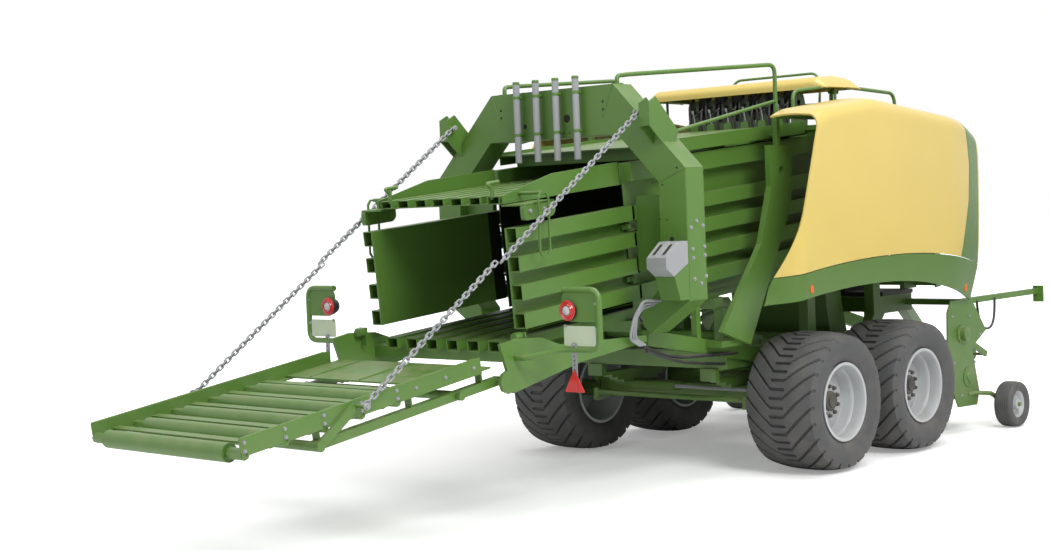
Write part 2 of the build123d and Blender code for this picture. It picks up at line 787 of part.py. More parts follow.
# Roof of the fixed chamber: a sheet with low ribs between two high side rails.
with BuildPart() as chamber_roof:
    with BuildSketch(across(chamber_view, wall_start, chamber_height)):
        with Locations((0, plate / 2)):
            Rectangle(chamber_width + 2 * plate, plate)
        for side in (-1, 1):
            with Locations((side * (chamber_width / 2 + top_rail_depth / 2 - plate), top_rail_rise + top_rail_height / 2)):
                Rectangle(top_rail_depth, top_rail_height)
            with Locations((side * chamber_width / 2, top_rail_rise)):
                Rectangle(plate * 2, top_rail_rise * 2)
        for index in range(top_flap_ribs):
            with Locations(((index - (top_flap_ribs - 1) / 2) * top_flap_pitch, top_flap_rib_height / 2)):
                Rectangle(top_flap_pitch * 0.62, top_flap_rib_height)
    extrude(amount=wall_length)
    for side in top_hinge_sides:
        flap_pin(pin, (flap_pin_run, side - knuckle_half * 1.6, flap_pin_rise),
                 (flap_pin_run, side + knuckle_half * 1.6, flap_pin_rise), hinge_pin_radius)
        for end in (-1, 1):
            ends = (side + end * (knuckle_half + seat_gap * 4), side + end * knuckle_half * 1.6)
            flap_block((flap_pin_run - hinge_pin_radius, wall_start + overrun), ends,
                       (flap_pin_rise - hinge_pin_radius, flap_pin_rise + hinge_pin_radius))
            flap_block((wall_start + seat_gap, wall_start + post_size), ends,
                       (chamber_height + plate / 2, flap_pin_rise + hinge_pin_radius))
write(chamber_roof, "chamber_roof")

# Side flaps: the ribbed rear ends of the chamber sides, splayed a little outwards.
splay = radians(side_flap_splay)
level = chamber_view(0).x_dir
flap_forward = Vector(level.X * cos(splay), sin(splay), level.Z * cos(splay))
flap_hinge = in_view(chamber_view, flap_length, sheet_inner, 0)
with BuildPart() as side_flap_right:
    with BuildSketch(Plane(origin=flap_hinge - flap_forward * (flap_length - flap_start),
                           x_dir=flap_forward.cross(Vector(chamber_view(0).y_dir)) * -1,
                           z_dir=flap_forward)):
        ribbed_section()
    extrude(amount=flap_length - flap_start)
    for rise in side_hinge_rises:
        flap_block((flap_length - post_size, flap_pin_run), (-flap_pin_side, -chamber_width / 2 - plate / 2),
                   (rise - knuckle_half, rise + knuckle_half))
        flap_pin(rod, (flap_pin_run, -flap_pin_side, rise - knuckle_half),
                 (flap_pin_run, -flap_pin_side, rise + knuckle_half), hinge_radius)
        flap_pin(hole, (flap_pin_run, -flap_pin_side, rise - knuckle_half * 2),
                 (flap_pin_run, -flap_pin_side, rise + knuckle_half * 2), hinge_pin_radius + seat_gap)
write_pair(side_flap_right, "side_flap")

# Top flap: sheet, seven open ribs and two cheeks that rise towards the front.
cheek_shares = ((0.0, 0.0), (1.0, 0.0), (1.0, 1.0), (0.42, 0.94), (0.0, 0.35))
with BuildPart() as top_flap:
    with BuildSketch(across(chamber_view, top_flap_start, chamber_height)):
        with Locations((0, sheet / 2)):
            Rectangle(top_flap_width, sheet)
        for index in range(top_flap_ribs):
            with Locations(((index - (top_flap_ribs - 1) / 2) * top_flap_pitch, top_flap_rib_height / 2)):
                Rectangle(top_flap_pitch * 0.62, top_flap_rib_height)
                Rectangle(top_flap_pitch * 0.62 - 2 * sheet, top_flap_rib_height - 2 * sheet, mode=Mode.SUBTRACT)
    extrude(amount=flap_length - top_flap_start)
    for side in (-top_flap_width / 2, top_flap_width / 2 - plate):
        prism(chamber_view(side + plate),
              [(top_flap_start + (flap_length - top_flap_start) * run, chamber_height + top_flap_cheek_rise * rise)
               for run, rise in cheek_shares], plate)
    for side in top_hinge_sides:
        flap_block((flap_length - post_size, flap_pin_run), (side - knuckle_half, side + knuckle_half),
                   (chamber_height + sheet / 2, flap_pin_rise))
        flap_pin(rod, (flap_pin_run, side - knuckle_half, flap_pin_rise),
                 (flap_pin_run, side + knuckle_half, flap_pin_rise), hinge_radius)
        flap_pin(hole, (flap_pin_run, side - knuckle_half * 2, flap_pin_rise),
                 (flap_pin_run, side + knuckle_half * 2, flap_pin_rise), hinge_pin_radius + seat_gap)
    for side in (-1, 1):
        latch = in_view(chamber_view, top_flap_start + hoop_setback, side * top_flap_width / 2,
                        chamber_height + top_flap_rib_height)
        rod((latch.X, latch.Y - side * plate, latch.Z), (latch.X, side * hoop_side, latch.Z), hoop_radius * 2)
        with BuildSketch(side_plane(side * hoop_side)):
            with Locations((latch.X, latch.Z - hoop_height / 2 + hoop_radius)):
                for width, height, mode in ((hoop_width, hoop_height, Mode.ADD),
                                            (hoop_width - hoop_radius * 4, hoop_height - hoop_radius * 4, Mode.SUBTRACT)):
                    Polygon(*[(width * run, height * rise) for run, rise in hoop_shares], mode=mode)
        extrude(amount=side * -hoop_radius * 2)
write(top_flap, "top_flap")

# Arch: a hexagonal portal of box sections with an upper beam and two legs.
chamfer_out = arch_top_half + arch_top_z
inner_kink = arch_half - arch_section
leg_break = chamfer_out - arch_section * 2 ** 0.5 - inner_kink
inner_beam_low = arch_top_z - beam_section
inner_beam_half = chamfer_out - arch_section * 2 ** 0.5 - inner_beam_low
beam_outline = ((arch_top_half, arch_top_z), (arch_half, arch_kink_z), (inner_kink, leg_break),
                (inner_beam_half, inner_beam_low))
foot_inner_z = arch_foot_z + arch_foot_width * 0.7
foot_inner_side = arch_foot_side - arch_foot_width * 0.75
web_low = arch_leg_z + arch_section * 0.5
chock_x = arch_rear_x - chock_depth
with BuildPart() as arch:
    prism(Plane.YZ.offset(arch_rear_x),
          [(-y, z) for y, z in beam_outline] + [(y, z) for y, z in reversed(beam_outline)], arch_depth)
    for side in (-1, 1):
        for inner in (ear_inner, ear_inner + ear_thickness - plate):
            prism(side_plane(side * inner), [(shackle_x + ear_length * run, shackle_z + ear_height * rise)
                                             for run, rise in ear_shares], side * -plate)
        block((shackle_x + ear_length * ear_shares[0][0], shackle_x + ear_length * ear_shares[0][0] + plate),
              (side * ear_inner, side * (ear_inner + ear_thickness)),
              (shackle_z + ear_height * ear_shares[0][1], shackle_z + ear_height * ear_shares[1][1]))
        pin((shackle_x, side * (ear_side - chain_link_width / 2), shackle_z),
            (shackle_x, side * (ear_inner + plate), shackle_z), shackle_pin_radius)
    for side in (-1, 1):
        prism(Plane.YZ.offset(arch_rear_x),
              ((side * arch_half, arch_kink_z), (side * arch_half, arch_leg_z), (side * arch_foot_side, arch_foot_z),
               (side * foot_inner_side, foot_inner_z), (side * foot_inner_side, foot_inner_z + arch_foot_width),
               (side * inner_kink, web_low), (side * inner_kink, leg_break)), arch_depth)
        block((arch_rear_x + arch_depth * 0.4, arch_rear_x + arch_depth * 0.6),
              (side * inner_kink, side * wall_outer), (web_low + arch_foot_width, leg_break - arch_foot_width))
    prism(side_plane(-arch_half), [(chock_x + chock_depth * run, chock_z + chock_height * rise)
                                   for run, rise in pocket_shares], -chock_width * 2)
write(arch, "arch")

# Guide rods of the top flap, standing in brackets on the arch beam's rear face.
rod_x = arch_rear_x - rod_standoff
with BuildPart() as guide_rods:
    for index in range(rod_count):
        side = (index - (rod_count - 1) / 2) * rod_pitch
        rod((rod_x, side, rod_bottom_z), (rod_x, side, rod_top_z), rod_radius, bar_sides * 2)
        for height in (arch_top_z - rod_radius * 2, inner_beam_low + rod_radius):
            block((rod_x, arch_rear_x), (side - rod_radius / 2, side + rod_radius / 2),
                  (height, height + rod_radius))
write(guide_rods, "guide_rods")

# Chute: two channel rails on lower arms with crossbars, floor sheets, and hooks for the chains.
rail_low = chute_rail_top - chute_rail_height
rail_inner = chute_half - chute_rail_lip
arm_half = chute_arm_size / 2
sheet_runs = ((chute_sheet_start, chute_sheet_end),)
hook = in_view(chute_view, -chain_hook_run, chain_hook_side, chain_hook_rise)
gaps = [roller_end - roller_pitch * (index + 0.5) for index in range(roller_count)]
with BuildPart() as chute_frame:
    for side in (-1, 1):
        with BuildSketch(across(chute_view, -chute_length)):
            with BuildLine():
                Polyline((side * chute_half, chute_rail_top), (side * (chute_half - sheet * 2), chute_rail_top),
                         (side * (chute_half - sheet * 2), rail_low + sheet * 2), (side * rail_inner, rail_low + sheet * 2),
                         (side * rail_inner, rail_low), (side * chute_half, rail_low), close=True)
            make_face()
        extrude(amount=chute_length - rail_gap)
        with BuildSketch(across(chute_view, -crossbar_run)):
            with Locations((side * chute_arm_side, 0)):
                Rectangle(chute_arm_size, chute_arm_size)
        extrude(amount=crossbar_run + arm_half)
        for run in (crossbar_run - arm_half, crossbar_run * 0.5, rail_gap):
            with BuildSketch(across(chute_view, -run)):
                with Locations((side * chute_arm_side, (rail_low + sheet) / 2)):
                    Rectangle(chute_arm_size, rail_low + sheet)
            extrude(amount=plate)
        root = in_view(chute_view, 0, side * chute_arm_side, 0)
        pin((root.X, root.Y, root.Z), (root.X, side * (pivot_plate_side + plate * 2), root.Z), pivot_radius)
        lever_foot = in_view(chute_view, -crossbar_run, side * (chute_half + plate), 0)
        hook_low = in_view(chute_view, -chain_hook_run, side * (chute_half + plate), chain_hook_rise)
        beam((lever_foot.X, lever_foot.Y, lever_foot.Z), (hook_low.X, hook_low.Y, hook_low.Z), plate * 2, chute_arm_size)
        pin((hook.X, side * chute_half, hook.Z), (hook.X, side * (chain_hook_side + chain_link_width / 2), hook.Z),
            shackle_pin_radius)
    far = in_view(chute_view, -crossbar_run, chute_half + plate * 2, 0)
    rod((far.X, -far.Y, far.Z), (far.X, far.Y, far.Z), crossbar_radius)
    near = in_view(chute_view, -crossbar_run * 0.24, chute_half + plate * 2, 0)
    rod((near.X, -near.Y, near.Z), (near.X, near.Y, near.Z), crossbar_radius)
    for start, end in sheet_runs:
        with BuildSketch(across(chute_view, -end, rail_low + sheet * 3)):
            Rectangle(2 * (chute_half - sheet), sheet * 2)
        extrude(amount=end - start)
    for gap in gaps:
        with BuildSketch(across(chute_view, -gap - strip_width / 2, roller_level + roller_radius * 0.4)):
            Rectangle(2 * (chute_half - sheet), sheet * 2)
        extrude(amount=strip_width)
    for index in range(roller_count):
        for side in (-1, 1):
            spot = in_view(chute_view, -(roller_end - roller_pitch * index), 0, roller_level)
            rod((spot.X, side * (roller_half + run_gap), spot.Z), (spot.X, side * (chute_half - sheet), spot.Z),
                roller_radius * 0.62)
            hole((spot.X, side * (roller_half + run_gap - overrun), spot.Z),
                 (spot.X, side * (chute_half + overrun), spot.Z), roller_pin_radius + seat_gap)
write(chute_frame, "chute_frame")

# Rollers of the chute, each on its own pin between the rails.
for index in range(roller_count):
    spot = in_view(chute_view, -(roller_end - roller_pitch * index), 0, roller_level)
    with BuildPart() as chute_roller:
        pin((spot.X, -roller_half, spot.Z), (spot.X, roller_half, spot.Z), roller_radius)
        pin((spot.X, -chute_half + sheet, spot.Z), (spot.X, chute_half - sheet, spot.Z), roller_pin_radius)
    write(chute_roller, f"chute_roller_{index + 1}")

# Chains: links alternate flat and upright, and the two lengths of a chain end side by side.
chain_top = Vector(shackle_x, -ear_side, shackle_z)
chain_low = Vector(hook.X, -chain_hook_side, hook.Z)
chain_run = chain_low - chain_top
knee = chain_top + chain_run * chain_knee_share
for name, start, offset in (("chain_upper", chain_top, -chain_knee_offset), ("chain_lower", chain_low, chain_knee_offset)):
    end = knee + Vector(0, offset, 0)
    length = (end - start).length
    links = round(length / chain_pitch)
    pitch = (length - run_gap) / links
    along = (end - start).normalized()
    aside = Vector(0, 1, 0).cross(along)
    lead = shackle_pin_radius + 2 * seat_gap
    with BuildPart() as chain:
        with BuildSketch(Plane(origin=start + along * lead, x_dir=aside.cross(along), z_dir=along)):
            Rectangle(chain_link_width, chain_wire)
        extrude(amount=pitch - lead)
        with BuildSketch(*[Plane(origin=start + along * (pitch * link - chain_wire),
                                 x_dir=aside if link % 2 else aside.cross(along), z_dir=along)
                           for link in range(1, links)]):
            Rectangle(chain_link_width, chain_wire)
        extrude(amount=pitch + chain_wire)
    write_pair(chain, name)

# Side hoods: the overlap of a plan, a cross section and a side view, hollowed by the same
# shapes moved inwards. The yellow panel ends at an arched line above the green skirt.
hood_length = hood_front_x - hood_rear_x
hood_height = hood_high_z - hood_low_z
hood_plan_shares = ((0.0, 1.0), (0.057, 0.0), (0.837, 0.0), (1.04, 0.5))
hood_section_shares = ((0.11, -0.1), (0.0, 0.35), (0.0, 0.97), (1.0, 1.02))
hood_top_shares = ((-0.3, 0.7), (0.143, 0.91), (0.196, 0.951), (0.423, 1.0), (0.885, 0.91), (0.95, 0.87))
hood_nose_shares = ((1.0, 0.668), (0.926, 0.0))


def hood_point(run, rise):
    """A place in the hood's side view from shares of its length and height."""
    return (hood_rear_x + hood_length * run, hood_low_z + hood_height * rise)


hood_crown = [hood_point(run, rise) for run, rise in hood_top_shares]


def hood_core(shift):
    """The right hood's plan, cross section and overlap, all moved inwards by a shift."""
    with BuildPart() as core:
        with BuildSketch(Plane.XY.offset(hood_low_z - hood_height * 0.2)):
            with BuildLine():
                Polyline(*[(hood_rear_x - hood_plan_back + hood_length * run,
                            -hood_side - overrun + (hood_turn_in + overrun) * turn + shift)
                           for run, turn in hood_plan_shares],
                         (hood_front_x - hood_plan_back + hood_bend, shift - hood_hinge_side + overrun),
                         (hood_rear_x - hood_plan_back, shift - hood_hinge_side + overrun), close=True)
            make_face()
        extrude(amount=hood_height * 1.6, dir=(hood_lean_share, 0, 1))
        with BuildSketch(Plane.YZ.offset(hood_rear_x - hood_length)):
            with BuildLine():
                side = FilletPolyline(*[(-hood_side + (hood_side - hood_hinge_side) * turn + shift,
                                         hood_low_z + hood_height * rise - shift)
                                        for turn, rise in hood_section_shares], radius=hood_roll)
                Polyline(side @ 1, (shift - hood_hinge_side, hood_low_z - hood_height * 0.1 - shift),
                         side @ 0)
            make_face()
        extrude(amount=hood_length * 3, mode=Mode.INTERSECT)
        with BuildSketch(side_plane(-hood_hinge_side + hood_bend)):
            with BuildLine():
                Polyline(*[(x, z - shift) for x, z in hood_crown], hood_point(1.2, 0.8), hood_point(1.2, -0.3),
                         hood_point(-0.3, -0.3), close=True)
            make_face()
        extrude(amount=hood_side, mode=Mode.INTERSECT)
    return core.part


arch_line = [hood_point(run, rise) for run, rise in ((-0.12, 0.205), (0.5, 0.26), (0.944, 0.16))]
skirt_line = [hood_point(run, rise) for run, rise in ((-0.12, 0.075), (0.48, 0.13), (0.926, 0.0))]
hood_shell = hood_core(0) - hood_core(hood_thickness)
hood_nose = [hood_point(run, rise) for run, rise in hood_nose_shares]
with BuildPart() as hood_right:
    add(hood_shell)
    with BuildSketch(side_plane(-hood_hinge_side + overrun)) as panel:
        with BuildLine():
            lower = ThreePointArc(*arch_line)
            Polyline(lower @ 1, hood_nose[0], hood_point(0.94, 1.1), hood_point(-0.12, 1.1), lower @ 0)
        make_face()
    extrude(amount=hood_side, mode=Mode.INTERSECT)
    for hinge_x in hood_hinge_xs:
        for side in (-1, 1):
            block((hinge_x + side * hinge_lug * 0.55, hinge_x + side * hinge_lug * 1.5),
                  (-hood_hinge_side - hinge_lug / 2, -hood_hinge_side + hinge_lug / 2),
                  (hood_hinge_z - hinge_lug / 2, hood_hinge_z + hinge_lug * 1.5))
        hole((hinge_x - hinge_lug * 2, -hood_hinge_side, hood_hinge_z),
             (hinge_x + hinge_lug * 2, -hood_hinge_side, hood_hinge_z), hinge_pin_radius + seat_gap)
write_pair(hood_right, "hood")

with BuildPart() as hood_skirt_right:
    add(hood_shell)
    with BuildSketch(side_plane(-hood_hinge_side + overrun)) as panel:
        with BuildLine():
            upper = ThreePointArc(*[(x, z - seat_gap) for x, z in arch_line])
            lower = ThreePointArc(*skirt_line)
            Line(lower @ 1, upper @ 1)
            Line(upper @ 0, lower @ 0)
        make_face()
    extrude(amount=hood_side, mode=Mode.INTERSECT)
write_pair(hood_skirt_right, "hood_skirt")

# Hood frames: a leaning gusset from the push arm, a pierced plate and the hood's hinge bar.
frame_side = hood_hinge_side - gusset_thickness - hood_bar
gusset_points = [(gusset_x + gusset_width * run, gusset_low_z + gusset_height * rise)
                 for run, rise in gusset_shares]
bar_z = hood_hinge_z - hood_bar
with BuildPart() as hood_frame_right:
    prism(side_plane(-frame_side), gusset_points, gusset_thickness)
    bore = ((gusset_points[3][0] + gusset_points[4][0]) / 2, gusset_points[3][1] - gusset_width * 0.6)
    hole((bore[0], -frame_side + overrun, bore[1]), (bore[0], -frame_side - gusset_thickness - overrun, bore[1]),
         gusset_bore)
    block((gusset_points[0][0] + plate * 4, gusset_points[1][0] - plate * 3),
          (-push_arm_side - push_arm_width / 2, -frame_side),
          (gusset_low_z, gusset_low_z + plate * 4))
    block((bore[0] - hood_bar, bore[0]), (-frame_side - hood_bar, -frame_side),
          (gusset_points[3][1] - plate, bar_z))
    block((bore[0] - hood_bar, hood_bar_end), (-frame_side - hood_bar, -frame_side),
          (bar_z, bar_z + hood_bar))
    for hinge_x in hood_hinge_xs:
        pin((hinge_x - hinge_lug * 1.6, -hood_hinge_side, hood_hinge_z),
            (hinge_x + hinge_lug * 1.6, -hood_hinge_side, hood_hinge_z), hinge_pin_radius)
        block((hinge_x - hinge_lug / 2, hinge_x + hinge_lug / 2),
              (-hood_hinge_side - hinge_pin_radius, -frame_side - hood_bar + overrun),
              (hood_hinge_z - hinge_pin_radius * 1.3, hood_hinge_z + hinge_pin_radius))
    stay = in_view(chamber_view, chamber_length * 0.78, 0, chamber_height + top_rail_height)
    roof_outer = chamber_width / 2 - plate + top_rail_depth
    block((stay.X, stay.X + hood_bar), (-frame_side, -roof_outer), (stay.Z, stay.Z + hood_bar))
    block((stay.X, stay.X + hood_bar), (-frame_side - hood_bar, -frame_side), (stay.Z, bar_z))
write_both(hood_frame_right, "hood_frames")

# Front frame: the chassis steps up over the pickup and carries gearbox and drawbar.
step_z = chassis_z + front_step
front_end = chassis_front_x + chassis_width / 2
with BuildPart() as front_frame:
    for side in (-chassis_side, chassis_side):
        prism(side_plane(side + chassis_width / 2),
              ((step_x, chassis_low), (step_x + front_step, step_z - chassis_height / 2),
               (front_end, step_z - chassis_height / 2), (front_end, step_z + chassis_height / 2),
               (step_x + front_step - chassis_height * 0.6, step_z + chassis_height / 2),
               (step_x, chassis_high)), chassis_width)
    for spot in (step_x + front_step, chassis_front_x):
        block((spot - chassis_width / 2, spot + chassis_width / 2), (-chassis_side, chassis_side),
              (step_z - chassis_height / 2 + plate, step_z + chassis_height / 2 - plate))
    block((chassis_front_x - chassis_width / 2, chassis_front_x + chassis_width / 2),
          (-front_bar_side, front_bar_side), (step_z - front_bar_size / 2, step_z + front_bar_size / 2))
    for side in (-1, 1):
        block((chassis_front_x, front_bar_x), (side * front_bar_side, side * (front_bar_side - front_bar_size)),
              (step_z - front_bar_size / 2, step_z + front_bar_size / 2))
        block((front_bar_x - plate, front_bar_x), (side * (front_bar_side + front_bar_size), side * (front_bar_side - front_bar_size)),
              (step_z - front_bar_size * 2, step_z + front_bar_size))
        block((lift_pivot_x - post_size, lift_pivot_x + post_size),
              (side * (chassis_side - plate), side * (chassis_side + plate)),
              (lift_pivot_z - post_size, step_z - plate))
        hole((lift_pivot_x, side * (chassis_side - post_size), lift_pivot_z),
             (lift_pivot_x, side * (chassis_side + post_size), lift_pivot_z), lift_shaft_radius + seat_gap)
    ends = [in_view(chamber_view, channel_shares[4] * chamber_length + offset, 0, channel_low)
            for offset in (0, floor_tube_width)]
    for side in (chassis_side - chassis_width / 2, -chassis_side - chassis_width / 2):
        prism(side_plane(side), ((ends[0].X, chassis_high + plate * 6), (ends[1].X, chassis_high + plate * 6),
                                 (ends[1].X, ends[1].Z), (ends[0].X, ends[0].Z)), -chassis_width)
write(front_frame, "front_frame")

# Gearbox with its input bearing, as one plain block on the front frame.
gearbox_low = step_z + chassis_height / 2
with BuildPart() as gearbox:
    block((gearbox_x - gearbox_length / 2, gearbox_x + gearbox_length / 2),
          (-gearbox_width / 2, gearbox_width / 2), (gearbox_low, gearbox_low + gearbox_height))
    for side in (-1, 1):
        block((gearbox_x - gearbox_length / 2, gearbox_x + gearbox_length / 2),
              (side * gearbox_width / 2, side * (chassis_side + chassis_width / 2)),
              (gearbox_low, gearbox_low + plate * 3))
    rod((gearbox_x, 0, flywheel_z), (gearbox_x + gearbox_length / 2 + shaft_radius, 0, flywheel_z), shaft_radius * 3)
    hole((gearbox_x + gearbox_length / 2, 0, flywheel_z),
         (gearbox_x + gearbox_length / 2 + shaft_radius * 2, 0, flywheel_z), shaft_radius + seat_gap)
write(gearbox, "gearbox")

# Flywheel with its shaft and the splined input stub, in one turning piece.
bearing_face = gearbox_x + gearbox_length / 2 + shaft_radius
disc_rear = flywheel_x - flywheel_width / 2
disc_front = flywheel_x + flywheel_width / 2
with BuildPart() as flywheel:
    rod((disc_rear, 0, flywheel_z), (disc_front, 0, flywheel_z), flywheel_radius, wheel_sides)
    hole((flywheel_x, 0, flywheel_z), (disc_front + overrun, 0, flywheel_z), flywheel_radius * 0.78, wheel_sides)
    rod((flywheel_x, 0, flywheel_z), (disc_front, 0, flywheel_z), shaft_radius * 2)
    pin((bearing_face - shaft_radius * 0.9, 0, flywheel_z), (disc_rear, 0, flywheel_z), shaft_radius)
    pin((disc_front, 0, flywheel_z), (disc_front + input_length, 0, flywheel_z), input_radius)
write(flywheel, "flywheel")

# Front shield: a bowed sheet ahead of the chamber with a round opening for the input shaft.
shield_shares = ((-1.0, -0.9), (-0.94, 0.55), (0.0, 1.0), (0.94, 0.55), (1.0, -0.9))


def shield_outline(shift):
    """The shield's bowed plan, moved back, closed behind."""
    with BuildSketch(Plane.XY.offset(shield_low_z)) as bow:
        with BuildLine():
            face = FilletPolyline(*[(shield_x + shield_bulge * ahead - shift, (shield_half - shift) * side_share)
                                    for side_share, ahead in shield_shares], radius=shield_bulge)
            Line(face @ 1, face @ 0)
        make_face()
    return bow.sketch


with BuildPart() as front_shield:
    extrude(shield_outline(0), amount=shield_high_z - shield_low_z)
    extrude(shield_outline(plate), amount=shield_high_z - shield_low_z - plate, mode=Mode.SUBTRACT)
    hole((shield_x, 0, flywheel_z), (shield_x + shield_bulge * 2, 0, flywheel_z), flywheel_radius * 1.1, wheel_sides)
    for side in (-1, 1):
        block((chassis_front_x, shield_x + shield_bulge * 0.68),
              (side * (chassis_side - chassis_width / 2), side * chassis_side),
              (step_z + chassis_height / 2 + plate * 3, shield_low_z + post_size))
write(front_shield, "front_shield")

# Drawbar: two converging beams from flanges on the front frame to the towing eye.
head_x = hitch_x - drawbar_size * 1.4
with BuildPart() as drawbar:
    for side in (-1, 1):
        block((front_end, front_end + plate * 2),
              (side * (drawbar_root_side - drawbar_size * 0.6), side * (drawbar_root_side + drawbar_size * 0.6)),
              (step_z - chassis_height / 2, step_z + chassis_height / 2))
        beam((front_end + plate, side * drawbar_root_side, step_z),
             (head_x, side * drawbar_size * 0.35, hitch_z + hitch_eye_height * 0.6), drawbar_size * 0.7, drawbar_size)
    beam((head_x - drawbar_size * 1.5, 0, hitch_z + hitch_eye_height * 0.6 + drawbar_size * 0.4),
         (head_x + drawbar_size * 0.3, 0, hitch_z + hitch_eye_height * 0.5), drawbar_size * 1.2, drawbar_size)
    beam((head_x, 0, hitch_z), (hitch_x, 0, hitch_z), hitch_eye_outer, hitch_eye_height)
    block((front_end - chassis_width, front_end), (-chassis_side, chassis_side),
          (step_z - chassis_height, step_z + chassis_height), Mode.SUBTRACT)
    rod((hitch_x, 0, hitch_z - hitch_eye_height / 2), (hitch_x, 0, hitch_z + hitch_eye_height / 2),
        hitch_eye_outer, bar_sides * 2)
    with Locations((hitch_x, 0, hitch_z)):
        Cylinder(hitch_eye_radius, hitch_eye_height + overrun, mode=Mode.SUBTRACT)
write(drawbar, "drawbar")

# Parking jack beside the drawbar, standing on its foot.
jack_share = (jack_x - front_end) / (head_x - front_end)
jack_beam_side = drawbar_root_side + (drawbar_size * 0.35 - drawbar_root_side) * jack_share
jack_beam_z = step_z + (hitch_z - step_z) * jack_share
jack_y = jack_beam_side + drawbar_size * 0.35 + jack_radius + plate * 3
with BuildPart() as parking_jack:
    rod((jack_x, jack_y, plate), (jack_x, jack_y, jack_beam_z), jack_radius * 0.75)
    rod((jack_x, jack_y, jack_beam_z - jack_foot * 2), (jack_x, jack_y, jack_beam_z + jack_foot * 2), jack_radius)
    block((jack_x - jack_foot, jack_x + jack_foot), (jack_y - jack_foot, jack_y + jack_foot), (0, plate))
    block((jack_x, jack_x + jack_radius), (jack_beam_side, jack_y),
          (jack_beam_z + drawbar_size * 0.742, jack_beam_z + drawbar_size * 0.86))
write(parking_jack, "parking_jack")

# Knotters: six discs with their bill hooks on one shaft, between frames on a beam.
deck_top = chamber_height + top_rail_rise + top_rail_height
knotter_run = (knotter_x - chamber_rear_x) / cos(radians(chamber_tilt)) + deck_top * tan(radians(chamber_tilt))
knotter_base = in_view(chamber_view, knotter_run, 0, deck_top).Z + knotter_radius * tan(radians(chamber_tilt)) + seat_gap
shaft_z = knotter_base + knotter_lift
knotter_half = knotter_count * knotter_pitch / 2
with BuildPart() as knotters:
    block((knotter_x - knotter_radius, knotter_x + knotter_radius), (-knotter_half, knotter_half),
          (knotter_base + plate, knotter_base + knotter_width))
    for side in (-1, 1):
        block((knotter_x + knotter_radius / 2, knotter_x + knotter_radius),
              (side * (knotter_half - plate), side * (chamber_width + top_rail_depth) / 2),
              (knotter_base, knotter_base + knotter_width))
    rod((knotter_x, -knotter_half, shaft_z), (knotter_x, knotter_half, shaft_z), knotter_radius * 0.22)
    for index in range(knotter_count + 1):
        edge = (index - knotter_count / 2) * knotter_pitch
        prism(side_plane(edge + plate / 2),
              [(knotter_x + knotter_radius * run, knotter_base + knotter_lift * rise)
               for run, rise in knotter_frame_shares], plate)
    for index in range(knotter_count):
        middle = (index - (knotter_count - 1) / 2) * knotter_pitch
        rod((knotter_x, middle - knotter_width / 2, shaft_z), (knotter_x, middle, shaft_z), knotter_radius, bar_sides * 2)
        rod((knotter_x, middle, shaft_z), (knotter_x, middle + knotter_width / 2, shaft_z), knotter_radius * 0.6)
        beam((knotter_x - knotter_radius * 1.1, middle + knotter_width, knotter_base + knotter_lift * 0.2),
             (knotter_x - knotter_radius * 0.5, middle + knotter_width, shaft_z + knotter_radius * 0.8),
             knotter_width * 0.4, knotter_width * 0.5)
        block((knotter_x - knotter_radius, knotter_x),
              (middle + knotter_width * 0.7, middle + knotter_width * 1.35),
              (knotter_base + knotter_width, knotter_base + knotter_lift * 0.5))
write(knotters, "knotters")

# Deck over the chamber roof: tread plate with folded edges on three bearers, and the rails.
deck_start = in_view(chamber_view, 0, 0, deck_top)
deck_runs = ((arch_rear_x + arch_depth + deck_gap - deck_start.X) / cos(radians(chamber_tilt)),
             knotter_run - knotter_radius * 2.2)
with BuildPart() as deck:
    with BuildSketch(across(chamber_view, deck_runs[0], deck_top)):
        with Locations((0, deck_height - plate / 2)):
            Rectangle(deck_side * 2, plate)
        for side in (-1, 1):
            with Locations((side * (deck_side - plate / 2), deck_height * 0.75)):
                Rectangle(plate, deck_height)
    extrude(amount=deck_runs[1] - deck_runs[0])
    for share in (0.05, 0.5, 0.95):
        with BuildSketch(across(chamber_view, deck_runs[0] + share * (deck_runs[1] - deck_runs[0]), deck_top)):
            with Locations((0, deck_height / 2)):
                Rectangle(chamber_width + top_rail_depth, deck_height)
        extrude(amount=plate * 2)
write(deck, "deck")

